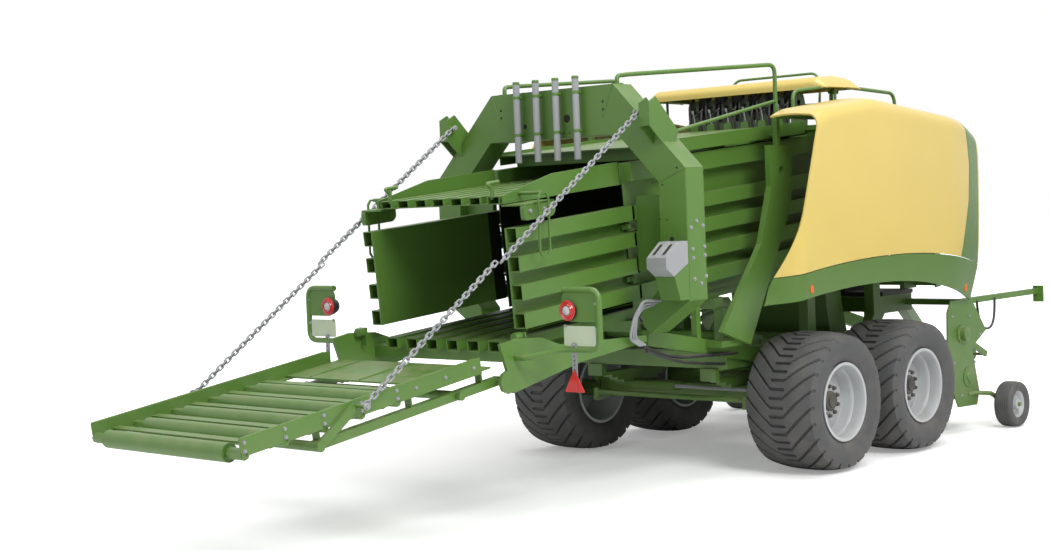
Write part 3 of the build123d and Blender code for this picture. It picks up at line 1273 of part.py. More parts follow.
post_foot = in_view(chamber_view, knotter_run, 0, deck_top).Z
cover_z = knotter_base + cover_lift
rail_foot_x = arch_rear_x + arch_depth / 2
lid_hinge_x = knotter_x + cover_length * 0.62
lid_post_side = cover_half * 0.7
lid_pin_z = cover_z + cover_drop * lid_shares[0][1]
lid_pin_radius = tube_radius * 0.8
foot_lift = tube_radius * tan(radians(chamber_tilt)) + seat_gap
with BuildPart() as handrails:
    for side in (-1, 1):
        bent_tube(((rail_foot_x, side * (arch_top_half - tube_radius * 2), arch_top_z),
                   (rail_foot_x, side * (arch_top_half - tube_radius * 2), arch_top_z + tube_radius * 3),
                   (rail_front_x, side * rail_side, rail_front_z),
                   (rail_front_x, side * rail_side, rail_foot_z)), tube_radius * 0.85, tube_radius * 2)
        rod((rail_front_x, side * rail_side, rail_foot_z + tube_radius),
            (rail_front_x, side * deck_side, rail_foot_z + tube_radius), tube_radius * 0.8)
        rod((rail_mid_x, side * (deck_side + tube_radius), rail_mid_z),
            (rail_front_x, side * rail_side, rail_mid_z + rail_mid_rise), tube_radius * 0.7)
        pin((lid_hinge_x, side * lid_post_side, lid_pin_z),
            (lid_hinge_x, side * (lid_post_side - tube_radius * 2), lid_pin_z), lid_pin_radius)
        foot = in_view(chamber_view, knotter_run + cover_length * 0.62, 0, deck_top)
        block((lid_hinge_x - tube_radius, lid_hinge_x + tube_radius),
              (side * (lid_post_side - tube_radius * 2), side * lid_post_side), (foot.Z + foot_lift, lid_pin_z - run_gap))
    rod((lid_hinge_x, -lid_post_side, lid_pin_z - post_size * 2),
        (lid_hinge_x, lid_post_side, lid_pin_z - post_size * 2), tube_radius * 0.8)
write(handrails, "handrails")

# Knotter lid: a shallow yellow hood on two posts, hinged along its front edge.
with BuildPart() as knotter_lid:
    with BuildSketch(side_plane(-cover_half)):
        with BuildLine():
            Polyline(*[(lid_hinge_x - cover_length * run, cover_z + cover_drop * rise)
                       for run, rise in lid_shares], close=True)
        make_face()
    extrude(amount=-cover_half * 2)
    for side in (-1, 1):
        hole((lid_hinge_x, side * (lid_post_side + run_gap), lid_pin_z),
             (lid_hinge_x, side * (lid_post_side - tube_radius * 2 - run_gap), lid_pin_z), lid_pin_radius + seat_gap)
write(knotter_lid, "knotter_lid")

# Lamp carriers: a bent tube loop with boards, from each pivot plate outwards.
carrier_start = (pivot_x + pivot_plate_length * 0.05, pivot_plate_side + plate * 2, pivot_z + pivot_plate_height * 0.55)
with BuildPart() as lamp_carrier_right:
    bent_tube((
        (carrier_start[0], -carrier_start[1], carrier_start[2]),
        (carrier_start[0], -carrier_start[1] - carrier_corner, carrier_start[2]),
        (lamp_x, -carrier_inner, carrier_low_z), (lamp_x, -carrier_outer, carrier_low_z),
        (lamp_x, -carrier_outer, carrier_high_z), (lamp_x, -carrier_inner - tube_radius, carrier_high_z)),
        tube_radius, carrier_corner * 0.45)
    block((lamp_x - plate / 4, lamp_x + plate / 4), (-carrier_outer, -carrier_inner - tube_radius),
          (lamp_z - lamp_radius * 1.1, carrier_high_z))
    block((lamp_x - plate / 4, lamp_x + plate / 4), (-carrier_outer + tube_radius * 1.6, -carrier_inner - plate),
          (carrier_low_z, lamp_z - lamp_radius * 1.35))
    block((lamp_x - plate / 4, lamp_x + plate / 4), (-carrier_outer, -carrier_outer + tube_radius * 2),
          (carrier_low_z, carrier_high_z))
    rod((lamp_x - lamp_depth * 0.4, -lamp_side, lamp_z), (lamp_x + lamp_depth * 1.4, -lamp_side, lamp_z),
        lamp_radius * 0.95, bar_sides * 2)
    block((lamp_x - plate, lamp_x - plate / 4), (-triangle_side - tube_radius, -triangle_side + tube_radius),
          (triangle_z + triangle_size * 0.7, carrier_low_z + tube_radius * 2))
write_both(lamp_carrier_right, "lamp_carriers")

with BuildPart() as lamps:
    for side in (-1, 1):
        rod((lamp_x - lamp_depth * 0.4 - seat_gap, side * lamp_side, lamp_z),
            (lamp_x - lamp_depth * 1.4, side * lamp_side, lamp_z), lamp_radius, bar_sides * 2)
        prism(Plane.YZ.offset(lamp_x - plate - seat_gap),
              ((side * triangle_side - triangle_size / 2, triangle_z), (side * triangle_side + triangle_size / 2, triangle_z),
               (side * triangle_side, triangle_z + triangle_size * 0.87)), -plate)
write(lamps, "lamps")

# Wheel chocks: two wedges side by side in a pocket on the right arch leg.
with BuildPart() as wheel_chocks:
    for index in range(2):
        prism(side_plane(-arch_half + chock_width * index),
              [(chock_x + chock_depth * run, chock_z + chock_height * rise) for run, rise in chock_shares], -chock_width + seat_gap)
write(wheel_chocks, "wheel_chocks")

# Hydraulics on the front of the right arch leg: accumulator, bracket and two steel pipes.
tank_x = arch_rear_x + arch_depth + accumulator_radius + plate
with BuildPart() as hydraulics:
    rod((tank_x, -arch_half * 0.92, accumulator_z), (tank_x, -arch_half * 0.92, accumulator_z + accumulator_height),
        accumulator_radius)
    rod((tank_x, -arch_half * 0.92, accumulator_z + accumulator_height),
        (tank_x, -arch_half * 0.92, accumulator_z + accumulator_height * 1.25), accumulator_radius * 0.4)
    block((arch_rear_x + arch_depth, tank_x), (-arch_half * 0.92 - plate, -arch_half * 0.92 + plate),
          (accumulator_z + plate * 3, accumulator_z + accumulator_height * 0.8))
write(hydraulics, "hydraulics")

# Needle yoke under the chamber floor: a cross tube with curved needles and two swing arms.
with BuildPart() as needle_yoke:
    rod((yoke_x, -yoke_half, yoke_z), (yoke_x, yoke_half, yoke_z), yoke_radius)
    for side in (-1, 1):
        beam((yoke_x, side * (yoke_half - plate), yoke_z), (yoke_x + needle_reach, side * (yoke_half - plate), chassis_high + plate * 2),
             plate * 2, yoke_radius * 2)
        block((yoke_x + needle_reach - yoke_radius, yoke_x + needle_reach + yoke_radius),
              (side * (yoke_half - plate * 2), side * (chassis_side - chassis_width / 2)),
              (chassis_high - plate * 3, chassis_high + plate * 3))
    for index in range(knotter_count):
        side = (index - (knotter_count - 1) / 2) * knotter_pitch
        with BuildSketch(side_plane(side + needle_width / 2)):
            with BuildLine():
                Polyline(*[(yoke_x + needle_reach * run, yoke_z + needle_rise * rise)
                           for run, rise in needle_shares], close=True)
            make_face()
        extrude(amount=needle_width)
write(needle_yoke, "needle_yoke")

# Feed duct between pickup and chamber: a curved closed channel.
duct_half = spring_side - spring_width / 2 - run_gap
with BuildPart() as feed_duct:
    with BuildSketch(side_plane(-duct_half)):
        with BuildLine():
            outer = ThreePointArc(*[(duct_x + duct_length * run, duct_z + duct_height * rise)
                                    for run, rise in duct_outer_shares])
            inner = ThreePointArc(*[(duct_x + duct_length * run, duct_z + duct_height * rise)
                                    for run, rise in duct_inner_shares])
            Line(outer @ 1, inner @ 0)
            Line(inner @ 1, outer @ 0)
        make_face()
    extrude(amount=-duct_half * 2)
    for side in (-1, 1):
        block((duct_x + duct_length * 0.2, duct_x + duct_length * 0.4),
              (side * (duct_half - plate), side * (chassis_side - chassis_width / 2)),
              (duct_z + duct_height * 0.38, duct_z + duct_height * 0.46))
write(feed_duct, "feed_duct")

# Pickup: side plates on a lift shaft with a back beam, the tined reel and the gauge wheels.
plate_side = pickup_half
roller_arm_side = plate_side - plate * 3
with BuildPart() as pickup_frame:
    pin((lift_pivot_x, -plate_side, lift_pivot_z), (lift_pivot_x, plate_side, lift_pivot_z), lift_shaft_radius)
    for side in (-1, 1):
        prism(side_plane(side * plate_side),
              [(pickup_x + pickup_depth * run, pickup_z + pickup_height * rise)
               for run, rise in pickup_plate_shares], side * plate)
        rod((pickup_x, side * (plate_side - plate), pickup_z), (pickup_x, side * (pickup_reel_half + run_gap), pickup_z),
            pickup_drum_radius * 0.3)
        beam((lift_pivot_x, side * (plate_side - plate * 3), lift_pivot_z),
             (pickup_x, side * (plate_side - plate * 3), pickup_z), plate * 3, lift_shaft_radius * 2)
        bent_tube(((pickup_x, side * (plate_side - plate), gauge_arm_z), (pickup_x + gauge_arm_lead, side * (plate_side + plate), gauge_arm_z),
                   (gauge_x - gauge_arm_lead, side * (gauge_side - gauge_width / 2 - tube_radius * 1.5), gauge_arm_low_z),
                   (gauge_x, side * (gauge_side - gauge_width / 2 - tube_radius * 1.5), gauge_radius)),
                  tube_radius, tube_radius * 2)
        pin((gauge_x, side * (gauge_side - gauge_width / 2 - tube_radius * 2), gauge_radius),
            (gauge_x, side * (gauge_side + gauge_width / 2), gauge_radius), tube_radius * 0.8)
    hole((pickup_x, -pickup_reel_half - run_gap - overrun, pickup_z),
         (pickup_x, pickup_reel_half + run_gap + overrun, pickup_z), shaft_radius + seat_gap)
    for side in (-1, 1):
        beam((pickup_x + post_size, side * roller_arm_side, pickup_z + pickup_height * 0.47),
             (crop_roller_x + post_size / 2, side * roller_arm_side, crop_roller_z), plate * 2, post_size)
        block((pickup_x + post_size / 2, pickup_x + post_size * 1.5), (side * roller_arm_side, side * plate_side),
              (pickup_z + pickup_height * 0.42, pickup_z + pickup_height * 0.5))
    hole((crop_roller_x, -roller_arm_side - plate * 2, crop_roller_z),
         (crop_roller_x, roller_arm_side + plate * 2, crop_roller_z), tube_radius * 0.6 + seat_gap)
write(pickup_frame, "pickup_frame")

tine_root = pickup_drum_radius * 0.9
tine_planes = []
for bar in range(tine_bars):
    turn = radians(bar * 360 / tine_bars - 180 / drum_sides)
    out = Vector(cos(turn), 0, sin(turn))
    for place in range(tine_count):
        spot = Vector(pickup_x, (place / (tine_count - 1) * 2 - 1) * pickup_reel_half * 0.97, pickup_z)
        tine_planes.append(Plane(origin=spot + out * tine_root, x_dir=(0, 1, 0), z_dir=out))
with BuildPart() as pickup_reel:
    rod((pickup_x, -pickup_reel_half, pickup_z), (pickup_x, pickup_reel_half, pickup_z), pickup_drum_radius, drum_sides)
    pin((pickup_x, -pickup_reel_half - run_gap - overrun + seat_gap, pickup_z),
        (pickup_x, pickup_reel_half + run_gap + overrun - seat_gap, pickup_z), shaft_radius)
    with BuildSketch(*tine_planes):
        Rectangle(tine_radius * 2, tine_radius * 2)
    extrude(amount=pickup_reel_radius - tine_root)
write(pickup_reel, "pickup_reel")

gauge_centre = Vector(gauge_x, -gauge_side, gauge_radius)
with BuildPart() as gauge_wheel_right:
    ring(gauge_centre, [(gauge_width * side_share, gauge_radius * out_share)
                        for side_share, out_share in gauge_section_shares], gauge_sides)
    hub_half = Vector(0, gauge_width * 0.42, 0)
    rod(gauge_centre - hub_half, gauge_centre + hub_half, tube_radius * 2)
    pin(gauge_centre - hub_half * 2, gauge_centre + hub_half * 2, tube_radius * 0.8 + seat_gap, Mode.SUBTRACT)
write_pair(gauge_wheel_right, "gauge_wheel")

# Crop roller ahead of the reel on two arms from the pickup's side plates.
with BuildPart() as crop_roller:
    pin((crop_roller_x, -pickup_reel_half, crop_roller_z), (crop_roller_x, pickup_reel_half, crop_roller_z), crop_roller_radius)
    pin((crop_roller_x, -plate_side + plate * 2, crop_roller_z), (crop_roller_x, plate_side - plate * 2, crop_roller_z),
        tube_radius * 0.6)
write(crop_roller, "crop_roller")
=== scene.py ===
import json
from math import radians

import bmesh
import bpy
import numpy as np
from mathutils import Matrix, Vector


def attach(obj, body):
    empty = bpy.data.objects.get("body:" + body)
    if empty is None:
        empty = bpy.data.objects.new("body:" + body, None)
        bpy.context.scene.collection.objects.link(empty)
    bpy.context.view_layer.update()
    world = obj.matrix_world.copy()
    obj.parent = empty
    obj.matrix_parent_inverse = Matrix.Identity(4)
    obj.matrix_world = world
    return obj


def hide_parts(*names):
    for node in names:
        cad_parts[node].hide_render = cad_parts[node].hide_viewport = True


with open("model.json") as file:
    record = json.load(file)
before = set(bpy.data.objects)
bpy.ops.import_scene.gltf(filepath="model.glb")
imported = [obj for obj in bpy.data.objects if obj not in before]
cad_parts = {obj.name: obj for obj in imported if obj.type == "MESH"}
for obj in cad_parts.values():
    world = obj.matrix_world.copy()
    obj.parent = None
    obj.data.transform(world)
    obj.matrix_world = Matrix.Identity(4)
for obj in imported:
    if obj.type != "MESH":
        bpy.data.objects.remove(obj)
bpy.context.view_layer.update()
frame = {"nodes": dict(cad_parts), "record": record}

# Studio: the baler stands on a wide pale floor under soft lamps, seen from behind its
# right-hand side at chest height with a long lens.
yaw, pitch, roll = radians(42.741), radians(-2.391), radians(-2.310)
sight = np.array([np.cos(yaw) * np.cos(pitch), np.sin(yaw) * np.cos(pitch), np.sin(pitch)])
level = np.array([np.sin(yaw), -np.cos(yaw), 0.0])
rise = np.cross(level, sight)
camera_right = np.cos(roll) * level + np.sin(roll) * rise
camera_up = np.cos(roll) * rise - np.sin(roll) * level
camera_data = bpy.data.cameras.new("studio_camera")
camera_data.lens = 56.817
camera_data.sensor_width = 36
camera_data.clip_end = 300
camera = bpy.data.objects.new("studio_camera", camera_data)
camera.matrix_world = Matrix((
    (camera_right[0], camera_up[0], -sight[0], -10.2315),
    (camera_right[1], camera_up[1], -sight[1], -8.1783),
    (camera_right[2], camera_up[2], -sight[2], 2.1074),
    (0, 0, 0, 1)))
bpy.context.scene.collection.objects.link(camera)
bpy.context.scene.camera = camera
bpy.context.scene.view_settings.view_transform = "Standard"

floor_mesh = bpy.data.meshes.new("studio_floor")
floor_mesh.from_pydata([(-90, -90, 0), (90, -90, 0), (90, 90, 0), (-90, 90, 0)], [], [(0, 1, 2, 3)])
floor = bpy.data.objects.new("studio_floor", floor_mesh)
bpy.context.scene.collection.objects.link(floor)
floor_paint = bpy.data.materials.new("pale_floor")
floor_paint.use_nodes = True
floor_tree = floor_paint.node_tree
floor_shader = floor_tree.nodes["Principled BSDF"]
floor_shader.inputs["Base Color"].default_value = (0.93, 0.93, 0.93, 1)
floor_shader.inputs["Roughness"].default_value = 0.9
floor_shader.inputs["Emission Color"].default_value = (1, 1, 1, 1)
floor_place = floor_tree.nodes.new("ShaderNodeTexCoord")
floor_reach = floor_tree.nodes.new("ShaderNodeVectorMath")
floor_reach.operation = "LENGTH"
floor_glow = floor_tree.nodes.new("ShaderNodeMapRange")
floor_ray = floor_tree.nodes.new("ShaderNodeLightPath")
floor_seen = floor_tree.nodes.new("ShaderNodeMath")
floor_seen.operation = "MULTIPLY"
for socket, value in (("From Min", 3.2), ("From Max", 9.5), ("To Min", 0.26), ("To Max", 1.0)):
    floor_glow.inputs[socket].default_value = value
floor_tree.links.new(floor_place.outputs["Object"], floor_reach.inputs[0])
floor_tree.links.new(floor_reach.outputs["Value"], floor_glow.inputs["Value"])
floor_tree.links.new(floor_glow.outputs[0], floor_seen.inputs[0])
floor_tree.links.new(floor_ray.outputs["Is Camera Ray"], floor_seen.inputs[1])
floor_tree.links.new(floor_seen.outputs[0], floor_shader.inputs["Emission Strength"])
floor_mesh.materials.append(floor_paint)

world = bpy.data.worlds.new("studio_light")
bpy.context.scene.world = world
world.use_nodes = True
background = world.node_tree.nodes["Background"]
background.inputs["Color"].default_value = (1, 1, 1, 1)
light_path = world.node_tree.nodes.new("ShaderNodeLightPath")
seen = world.node_tree.nodes.new("ShaderNodeMath")
seen.operation = "MAXIMUM"
strength = world.node_tree.nodes.new("ShaderNodeMapRange")
strength.inputs["To Min"].default_value = 0.42
strength.inputs["To Max"].default_value = 1.0
world.node_tree.links.new(light_path.outputs["Is Camera Ray"], seen.inputs[0])
world.node_tree.links.new(light_path.outputs["Is Glossy Ray"], seen.inputs[1])
world.node_tree.links.new(seen.outputs[0], strength.inputs["Value"])
world.node_tree.links.new(strength.outputs[0], background.inputs["Strength"])
for name, place, aim, size, power in (
        ("key_lamp", (-5, -12, 11), (0.5, 0, 1.4), 6, 1650),
        ("fill_lamp", (-13, 3, 7), (-1, 0, 1.2), 6, 260),
        ("top_lamp", (1, -2, 13), (0, 0, 1), 8, 1000)):
    lamp = bpy.data.lights.new(name, "AREA")
    lamp.size = size
    lamp.energy = power
    lamp_object = bpy.data.objects.new(name, lamp)
    lamp_object.matrix_world = Matrix.Translation(place) @ (
        Vector(aim) - Vector(place)).to_track_quat("-Z", "Y").to_matrix().to_4x4()
    bpy.context.scene.collection.objects.link(lamp_object)


# Frame, axles and chamber: welded steel sheet and tube, sprayed in one leaf green coat that
# has a fine orange peel, dulls a little under field dust and thins along its edges.
def effect_group(name, inputs, outputs):
    """A new shader group with named sockets: pairs of a name and a socket type."""
    group = bpy.data.node_groups.new(name, "ShaderNodeTree")
    for direction, sockets in (("INPUT", inputs), ("OUTPUT", outputs)):
        for title, kind in sockets:
            group.interface.new_socket(title, in_out=direction, socket_type="NodeSocket" + kind)
    return group, group.nodes.new("NodeGroupInput"), group.nodes.new("NodeGroupOutput")


def add_node(tree, kind, values=(), **settings):
    """Places one node, sets its fields, and sets or links its inputs from pairs."""
    node = tree.nodes.new("ShaderNode" + kind)
    for field, value in settings.items():
        setattr(node, field, value)
    for socket, value in values:
        if isinstance(value, bpy.types.NodeSocket):
            tree.links.new(value, node.inputs[socket])
        else:
            node.inputs[socket].default_value = value
    return node


# Dust lies where a surface looks up and thickens towards the ground, broken by noise.
dust, dust_in, dust_out = effect_group("field_dust", (("Vector", "Vector"), ("Amount", "Float")),
                                       (("Mask", "Float"),))
dust_normal = add_node(dust, "NewGeometry")
dust_axes = add_node(dust, "SeparateXYZ", [(0, dust_normal.outputs["Normal"])])
dust_places = add_node(dust, "SeparateXYZ", [(0, dust_in.outputs["Vector"])])
facing_up = add_node(dust, "MapRange", [("Value", dust_axes.outputs[2]), ("From Min", 0.2), ("From Max", 1.0)])
low_down = add_node(dust, "MapRange", [("Value", dust_places.outputs[2]), ("From Min", 1.1), ("From Max", 0.0)])
dust_sum = add_node(dust, "Math", [(0, facing_up.outputs[0]), (1, low_down.outputs[0])], operation="ADD")
dust_noise = add_node(dust, "TexNoise", [("Vector", dust_in.outputs["Vector"]), ("Scale", 7.0), ("Detail", 6.0)])
dust_break = add_node(dust, "MapRange", [("Value", dust_noise.outputs[0]), ("From Min", 0.35),
                                         ("From Max", 0.7)])
dust_spread = add_node(dust, "Math", [(0, dust_sum.outputs[0]), (1, dust_break.outputs[0])],
                       operation="MULTIPLY")
dust_mask = add_node(dust, "Math", [(0, dust_spread.outputs[0]), (1, dust_in.outputs["Amount"])],
                     operation="MULTIPLY", use_clamp=True)
dust.links.new(dust_mask.outputs[0], dust_out.inputs["Mask"])

# Edges: a rounded normal leaves the flat one only near an edge, and noise breaks that line.
edge, edge_in, edge_out = effect_group("worn_edge", (("Vector", "Vector"), ("Width", "Float")),
                                       (("Mask", "Float"), ("Normal", "Vector")))
edge_round = add_node(edge, "Bevel", [("Radius", edge_in.outputs["Width"])], samples=3)
edge_flat = add_node(edge, "NewGeometry")
edge_match = add_node(edge, "VectorMath", [(0, edge_round.outputs[0]), (1, edge_flat.outputs["Normal"])],
                      operation="DOT_PRODUCT")
edge_near = add_node(edge, "MapRange", [("Value", edge_match.outputs["Value"]), ("From Min", 0.985),
                                        ("From Max", 0.9)])
edge_noise = add_node(edge, "TexNoise", [("Vector", edge_in.outputs["Vector"]), ("Scale", 24.0), ("Detail", 4.0)])
edge_break = add_node(edge, "MapRange", [("Value", edge_noise.outputs[0]), ("From Min", 0.45),
                                         ("From Max", 0.62)])
edge_mask = add_node(edge, "Math", [(0, edge_near.outputs[0]), (1, edge_break.outputs[0])],
                     operation="MULTIPLY", use_clamp=True)
edge.links.new(edge_mask.outputs[0], edge_out.inputs["Mask"])
edge.links.new(edge_round.outputs[0], edge_out.inputs["Normal"])


def sprayed_paint(name, light, deep, roughness, dust_amount, edge_colour, edge_width=0.003, peel=0.03):
    """Two tones of a coat mixed by broad noise, under dust and with worn edges."""
    material = bpy.data.materials.new(name)
    material.use_nodes = True
    tree = material.node_tree
    shader = tree.nodes["Principled BSDF"]
    place = add_node(tree, "TexCoord")
    broad = add_node(tree, "TexNoise", [("Vector", place.outputs["Object"]), ("Scale", 1.7), ("Detail", 5.0)])
    tone = add_node(tree, "Mix", [("Factor", broad.outputs[0]), (6, deep + (1,)), (7, light + (1,))],
                    data_type="RGBA")
    dusty = add_node(tree, "Group", node_tree=dust)
    tree.links.new(place.outputs["Object"], dusty.inputs["Vector"])
    dusty.inputs["Amount"].default_value = dust_amount
    dusted = add_node(tree, "Mix", [("Factor", dusty.outputs["Mask"]), (6, tone.outputs[2]),
                                    (7, (0.30, 0.25, 0.17, 1))], data_type="RGBA")
    worn = add_node(tree, "Group", node_tree=edge)
    tree.links.new(place.outputs["Object"], worn.inputs["Vector"])
    worn.inputs["Width"].default_value = edge_width
    coat = add_node(tree, "Mix", [("Factor", worn.outputs["Mask"]), (6, dusted.outputs[2]),
                                  (7, edge_colour + (1,))], data_type="RGBA")
    tree.links.new(coat.outputs[2], shader.inputs["Base Color"])
    gloss = add_node(tree, "MapRange", [("Value", dusty.outputs["Mask"]), ("To Min", roughness),
                                        ("To Max", 0.85)])
    tree.links.new(gloss.outputs[0], shader.inputs["Roughness"])
    grain = add_node(tree, "TexNoise", [("Vector", place.outputs["Object"]), ("Scale", 260.0), ("Detail", 2.0)])
    bump = add_node(tree, "Bump", [("Strength", peel), ("Distance", 0.004), ("Height", grain.outputs[0]),
                                   ("Normal", worn.outputs["Normal"])])
    tree.links.new(bump.outputs[0], shader.inputs["Normal"])
    return material


def coat_nodes(material, *names):
    """Gives a material to every slot of the named frame nodes."""
    for name in names:
        mesh = frame["nodes"][name].data
        mesh.materials.clear()
        mesh.materials.append(material)


green = sprayed_paint("leaf_green_paint", (0.094, 0.200, 0.034), (0.072, 0.160, 0.025), 0.34, 0.35,
                      (0.20, 0.31, 0.12))
green_names = [row["node"] for row in frame["record"]["subparts"] if row.get("material_slot") == "green_paint"]
coat_nodes(green, *green_names)


# Tyres: black flotation rubber on all four wheels. Bars slant in from each shoulder and turn
# level over the middle, left and right ones by turns, and the walls bulge over the bead.
def grid_faces(rows, columns, wrap_rows=False, wrap_columns=False):
    """Quads of a grid of points: each joins a point to its next in both directions."""
    down = np.arange(rows if wrap_rows else rows - 1)[:, None]
    over = np.arange(columns if wrap_columns else columns - 1)[None, :]
    below, beside = (down + 1) % rows, (over + 1) % columns
    return np.stack([down * columns + over, below * columns + over, below * columns + beside,
                     down * columns + beside], axis=-1).reshape(-1, 4)


def make_piece(name, parts, material, body, crease=38, bevel=0.0, hides=()):
    """Joins pairs of points and faces into one mesh, welds it and turns it outwards."""
    points, faces, start = [], [], 0
    for places, quads in parts:
        places = np.asarray(places, dtype=float).reshape(-1, 3)
        points.append(places)
        faces += [[index + start for index in face] for face in
                  (quads.tolist() if isinstance(quads, np.ndarray) else quads)]
        start += len(places)
    mesh = bpy.data.meshes.new(name)
    mesh.from_pydata(np.concatenate(points).tolist(), [], faces)
    shape = bmesh.new()
    shape.from_mesh(mesh)
    bmesh.ops.remove_doubles(shape, verts=shape.verts, dist=2e-5)
    bmesh.ops.recalc_face_normals(shape, faces=shape.faces)
    shape.to_mesh(mesh)
    shape.free()
    mesh.polygons.foreach_set("use_smooth", np.ones(len(mesh.polygons), dtype=bool))
    mesh.set_sharp_from_angle(angle=radians(crease))
    mesh.materials.append(material)
    piece = bpy.data.objects.new(name, mesh)
    bpy.context.scene.collection.objects.link(piece)
    if bevel:
        rounding = piece.modifiers.new("rounding", "BEVEL")
        rounding.width = bevel
        rounding.segments = 2
        rounding.limit_method = "ANGLE"
    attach(piece, body)
    if hides:
        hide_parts(*hides)
    return piece


def turned(profile, centre, axis, steps, phase=0.0):
    """A profile of pairs (along, radius) carried once round an axis through a centre."""
    profile = np.asarray(profile, dtype=float)
    axis = np.asarray(axis, dtype=float) / np.linalg.norm(axis)
    first = np.cross(axis, (0.0, 0.0, 1.0) if abs(axis[2]) < 0.9 else (1.0, 0.0, 0.0))
    first /= np.linalg.norm(first)
    second = np.cross(axis, first)
    angle = 2 * np.pi * np.arange(steps) / steps + phase
    spokes = np.cos(angle)[:, None] * first + np.sin(angle)[:, None] * second
    points = (np.asarray(centre) + profile[None, :, :1] * axis + profile[None, :, 1:] * spokes[:, None, :])
    return points, grid_faces(steps, len(profile), wrap_rows=True)


tyre_radius, wheel_y, axle_z = 0.532, 1.198, 0.532
bar_count, groove_depth = 24, 0.019
rubber = bpy.data.materials.new("tyre_rubber")
rubber.use_nodes = True
rubber_tree = rubber.node_tree
rubber_place = add_node(rubber_tree, "TexCoord")
rubber_dust = add_node(rubber_tree, "Group", node_tree=dust)
rubber_tree.links.new(rubber_place.outputs["Object"], rubber_dust.inputs["Vector"])
rubber_dust.inputs["Amount"].default_value = 0.4
rubber_noise = add_node(rubber_tree, "TexNoise", [("Vector", rubber_place.outputs["Object"]), ("Scale", 9.0),
                                                  ("Detail", 8.0)])
rubber_tone = add_node(rubber_tree, "Mix", [("Factor", rubber_noise.outputs[0]), (6, (0.040, 0.041, 0.043, 1)),
                                            (7, (0.085, 0.086, 0.088, 1))], data_type="RGBA")
rubber_mix = add_node(rubber_tree, "Mix", [("Factor", rubber_dust.outputs[0]), (6, rubber_tone.outputs[2]),
                                           (7, (0.16, 0.145, 0.12, 1))], data_type="RGBA")
rubber_shader = rubber_tree.nodes["Principled BSDF"]
rubber_tree.links.new(rubber_mix.outputs[2], rubber_shader.inputs["Base Color"])
rubber_gloss = add_node(rubber_tree, "MapRange", [("Value", rubber_noise.outputs[0]), ("To Min", 0.5),
                                                  ("To Max", 0.8)])
rubber_tree.links.new(rubber_gloss.outputs[0], rubber_shader.inputs["Roughness"])
rubber_pores = add_node(rubber_tree, "TexNoise", [("Vector", rubber_place.outputs["Object"]), ("Scale", 320.0)])
rubber_bump = add_node(rubber_tree, "Bump", [("Strength", 0.25), ("Distance", 0.002),
                                             ("Height", rubber_pores.outputs[0])])
rubber_tree.links.new(rubber_bump.outputs[0], rubber_shader.inputs["Normal"])


def tread_fall(across, around):
    """Depth of the grooves: one set slants in from each shoulder and runs level past the
    middle, where a point is in a groove if its turn, less the slant, is near a whole pitch."""
    depth = np.zeros(np.broadcast(across, around).shape)
    for side, phase in ((-1, 0.0), (1, 0.5)):
        out = side * across
        slant = 1.9 * np.maximum(out - 0.2, 0)
        turn = (around * bar_count + phase - slant + 0.5) % 1 - 0.5
        line = np.clip((0.085 - np.abs(turn)) / 0.02, 0, 1)
        reach = np.clip((out + 0.24) / 0.02, 0, 1)
        depth = np.maximum(depth, line * reach)
    return depth


wall_profile = np.array([(0.245, 0.2885), (0.262, 0.300), (0.285, 0.335), (0.303, 0.375), (0.3095, 0.410),
                         (0.308, 0.440), (0.300, 0.466), (0.290, 0.484)])
tread_half = np.linspace(0.283, 0.0, 46)
tread_profile = np.column_stack([tread_half, tyre_radius - 0.002 - 0.030 * (tread_half / 0.283) ** 2.6])
half_profile = np.concatenate([wall_profile, tread_profile])
tyre_profile = np.concatenate([half_profile, half_profile[-2::-1] * (-1, 1)])
around = np.arange(720) / 720
tread_across = tyre_profile[:, 0] / 0.283
shoulder = np.clip((1.06 - np.abs(tread_across)) / 0.03, 0, 1) * (tyre_profile[:, 1] > 0.45)
tyre_depth = tread_fall(tread_across[None, :], around[:, None]) * shoulder[None, :]
tyre_reach = tyre_profile[None, :, 1] - groove_depth * tyre_depth
for wheel_x, place in ((0.53, "rear"), (1.71, "front")):
    for side, hand in ((-1, "right"), (1, "left")):
        turn = 2 * np.pi * around[:, None]
        tyre_points = np.stack([wheel_x + tyre_reach * np.sin(turn),
                                np.broadcast_to(side * (wheel_y + tyre_profile[None, :, 0]), tyre_reach.shape),
                                axle_z + tyre_reach * np.cos(turn)], axis=-1)
        tyre_faces = grid_faces(720, len(tyre_profile), wrap_rows=True)
        inner = np.array([(0.245, 0.2885), (0.225, 0.2872), (-0.225, 0.2872), (-0.245, 0.2885)])
        bead = turned(inner * (side, 1), (wheel_x, side * wheel_y, axle_z), (0, 1, 0), 120)
        make_piece(f"tyre_{place}_{hand}_rubber", [(tyre_points, tyre_faces), bead], rubber,
                   f"wheel_{place}_{hand}", crease=50, hides=[f"tyre_{place}_{hand}"])

# Rims: rolled steel barrels with a dropped well, sprayed silver, with a dished disc, ten nuts
# and a dark hub that stands out of the disc.
silver = sprayed_paint("silver_rim_paint", (0.47, 0.49, 0.50), (0.39, 0.405, 0.415), 0.36, 0.18,
                       (0.40, 0.40, 0.40), edge_width=0.002)
hub_black = sprayed_paint("black_satin_paint", (0.030, 0.031, 0.032), (0.018, 0.018, 0.019), 0.42, 0.4,
                          (0.14, 0.14, 0.14))


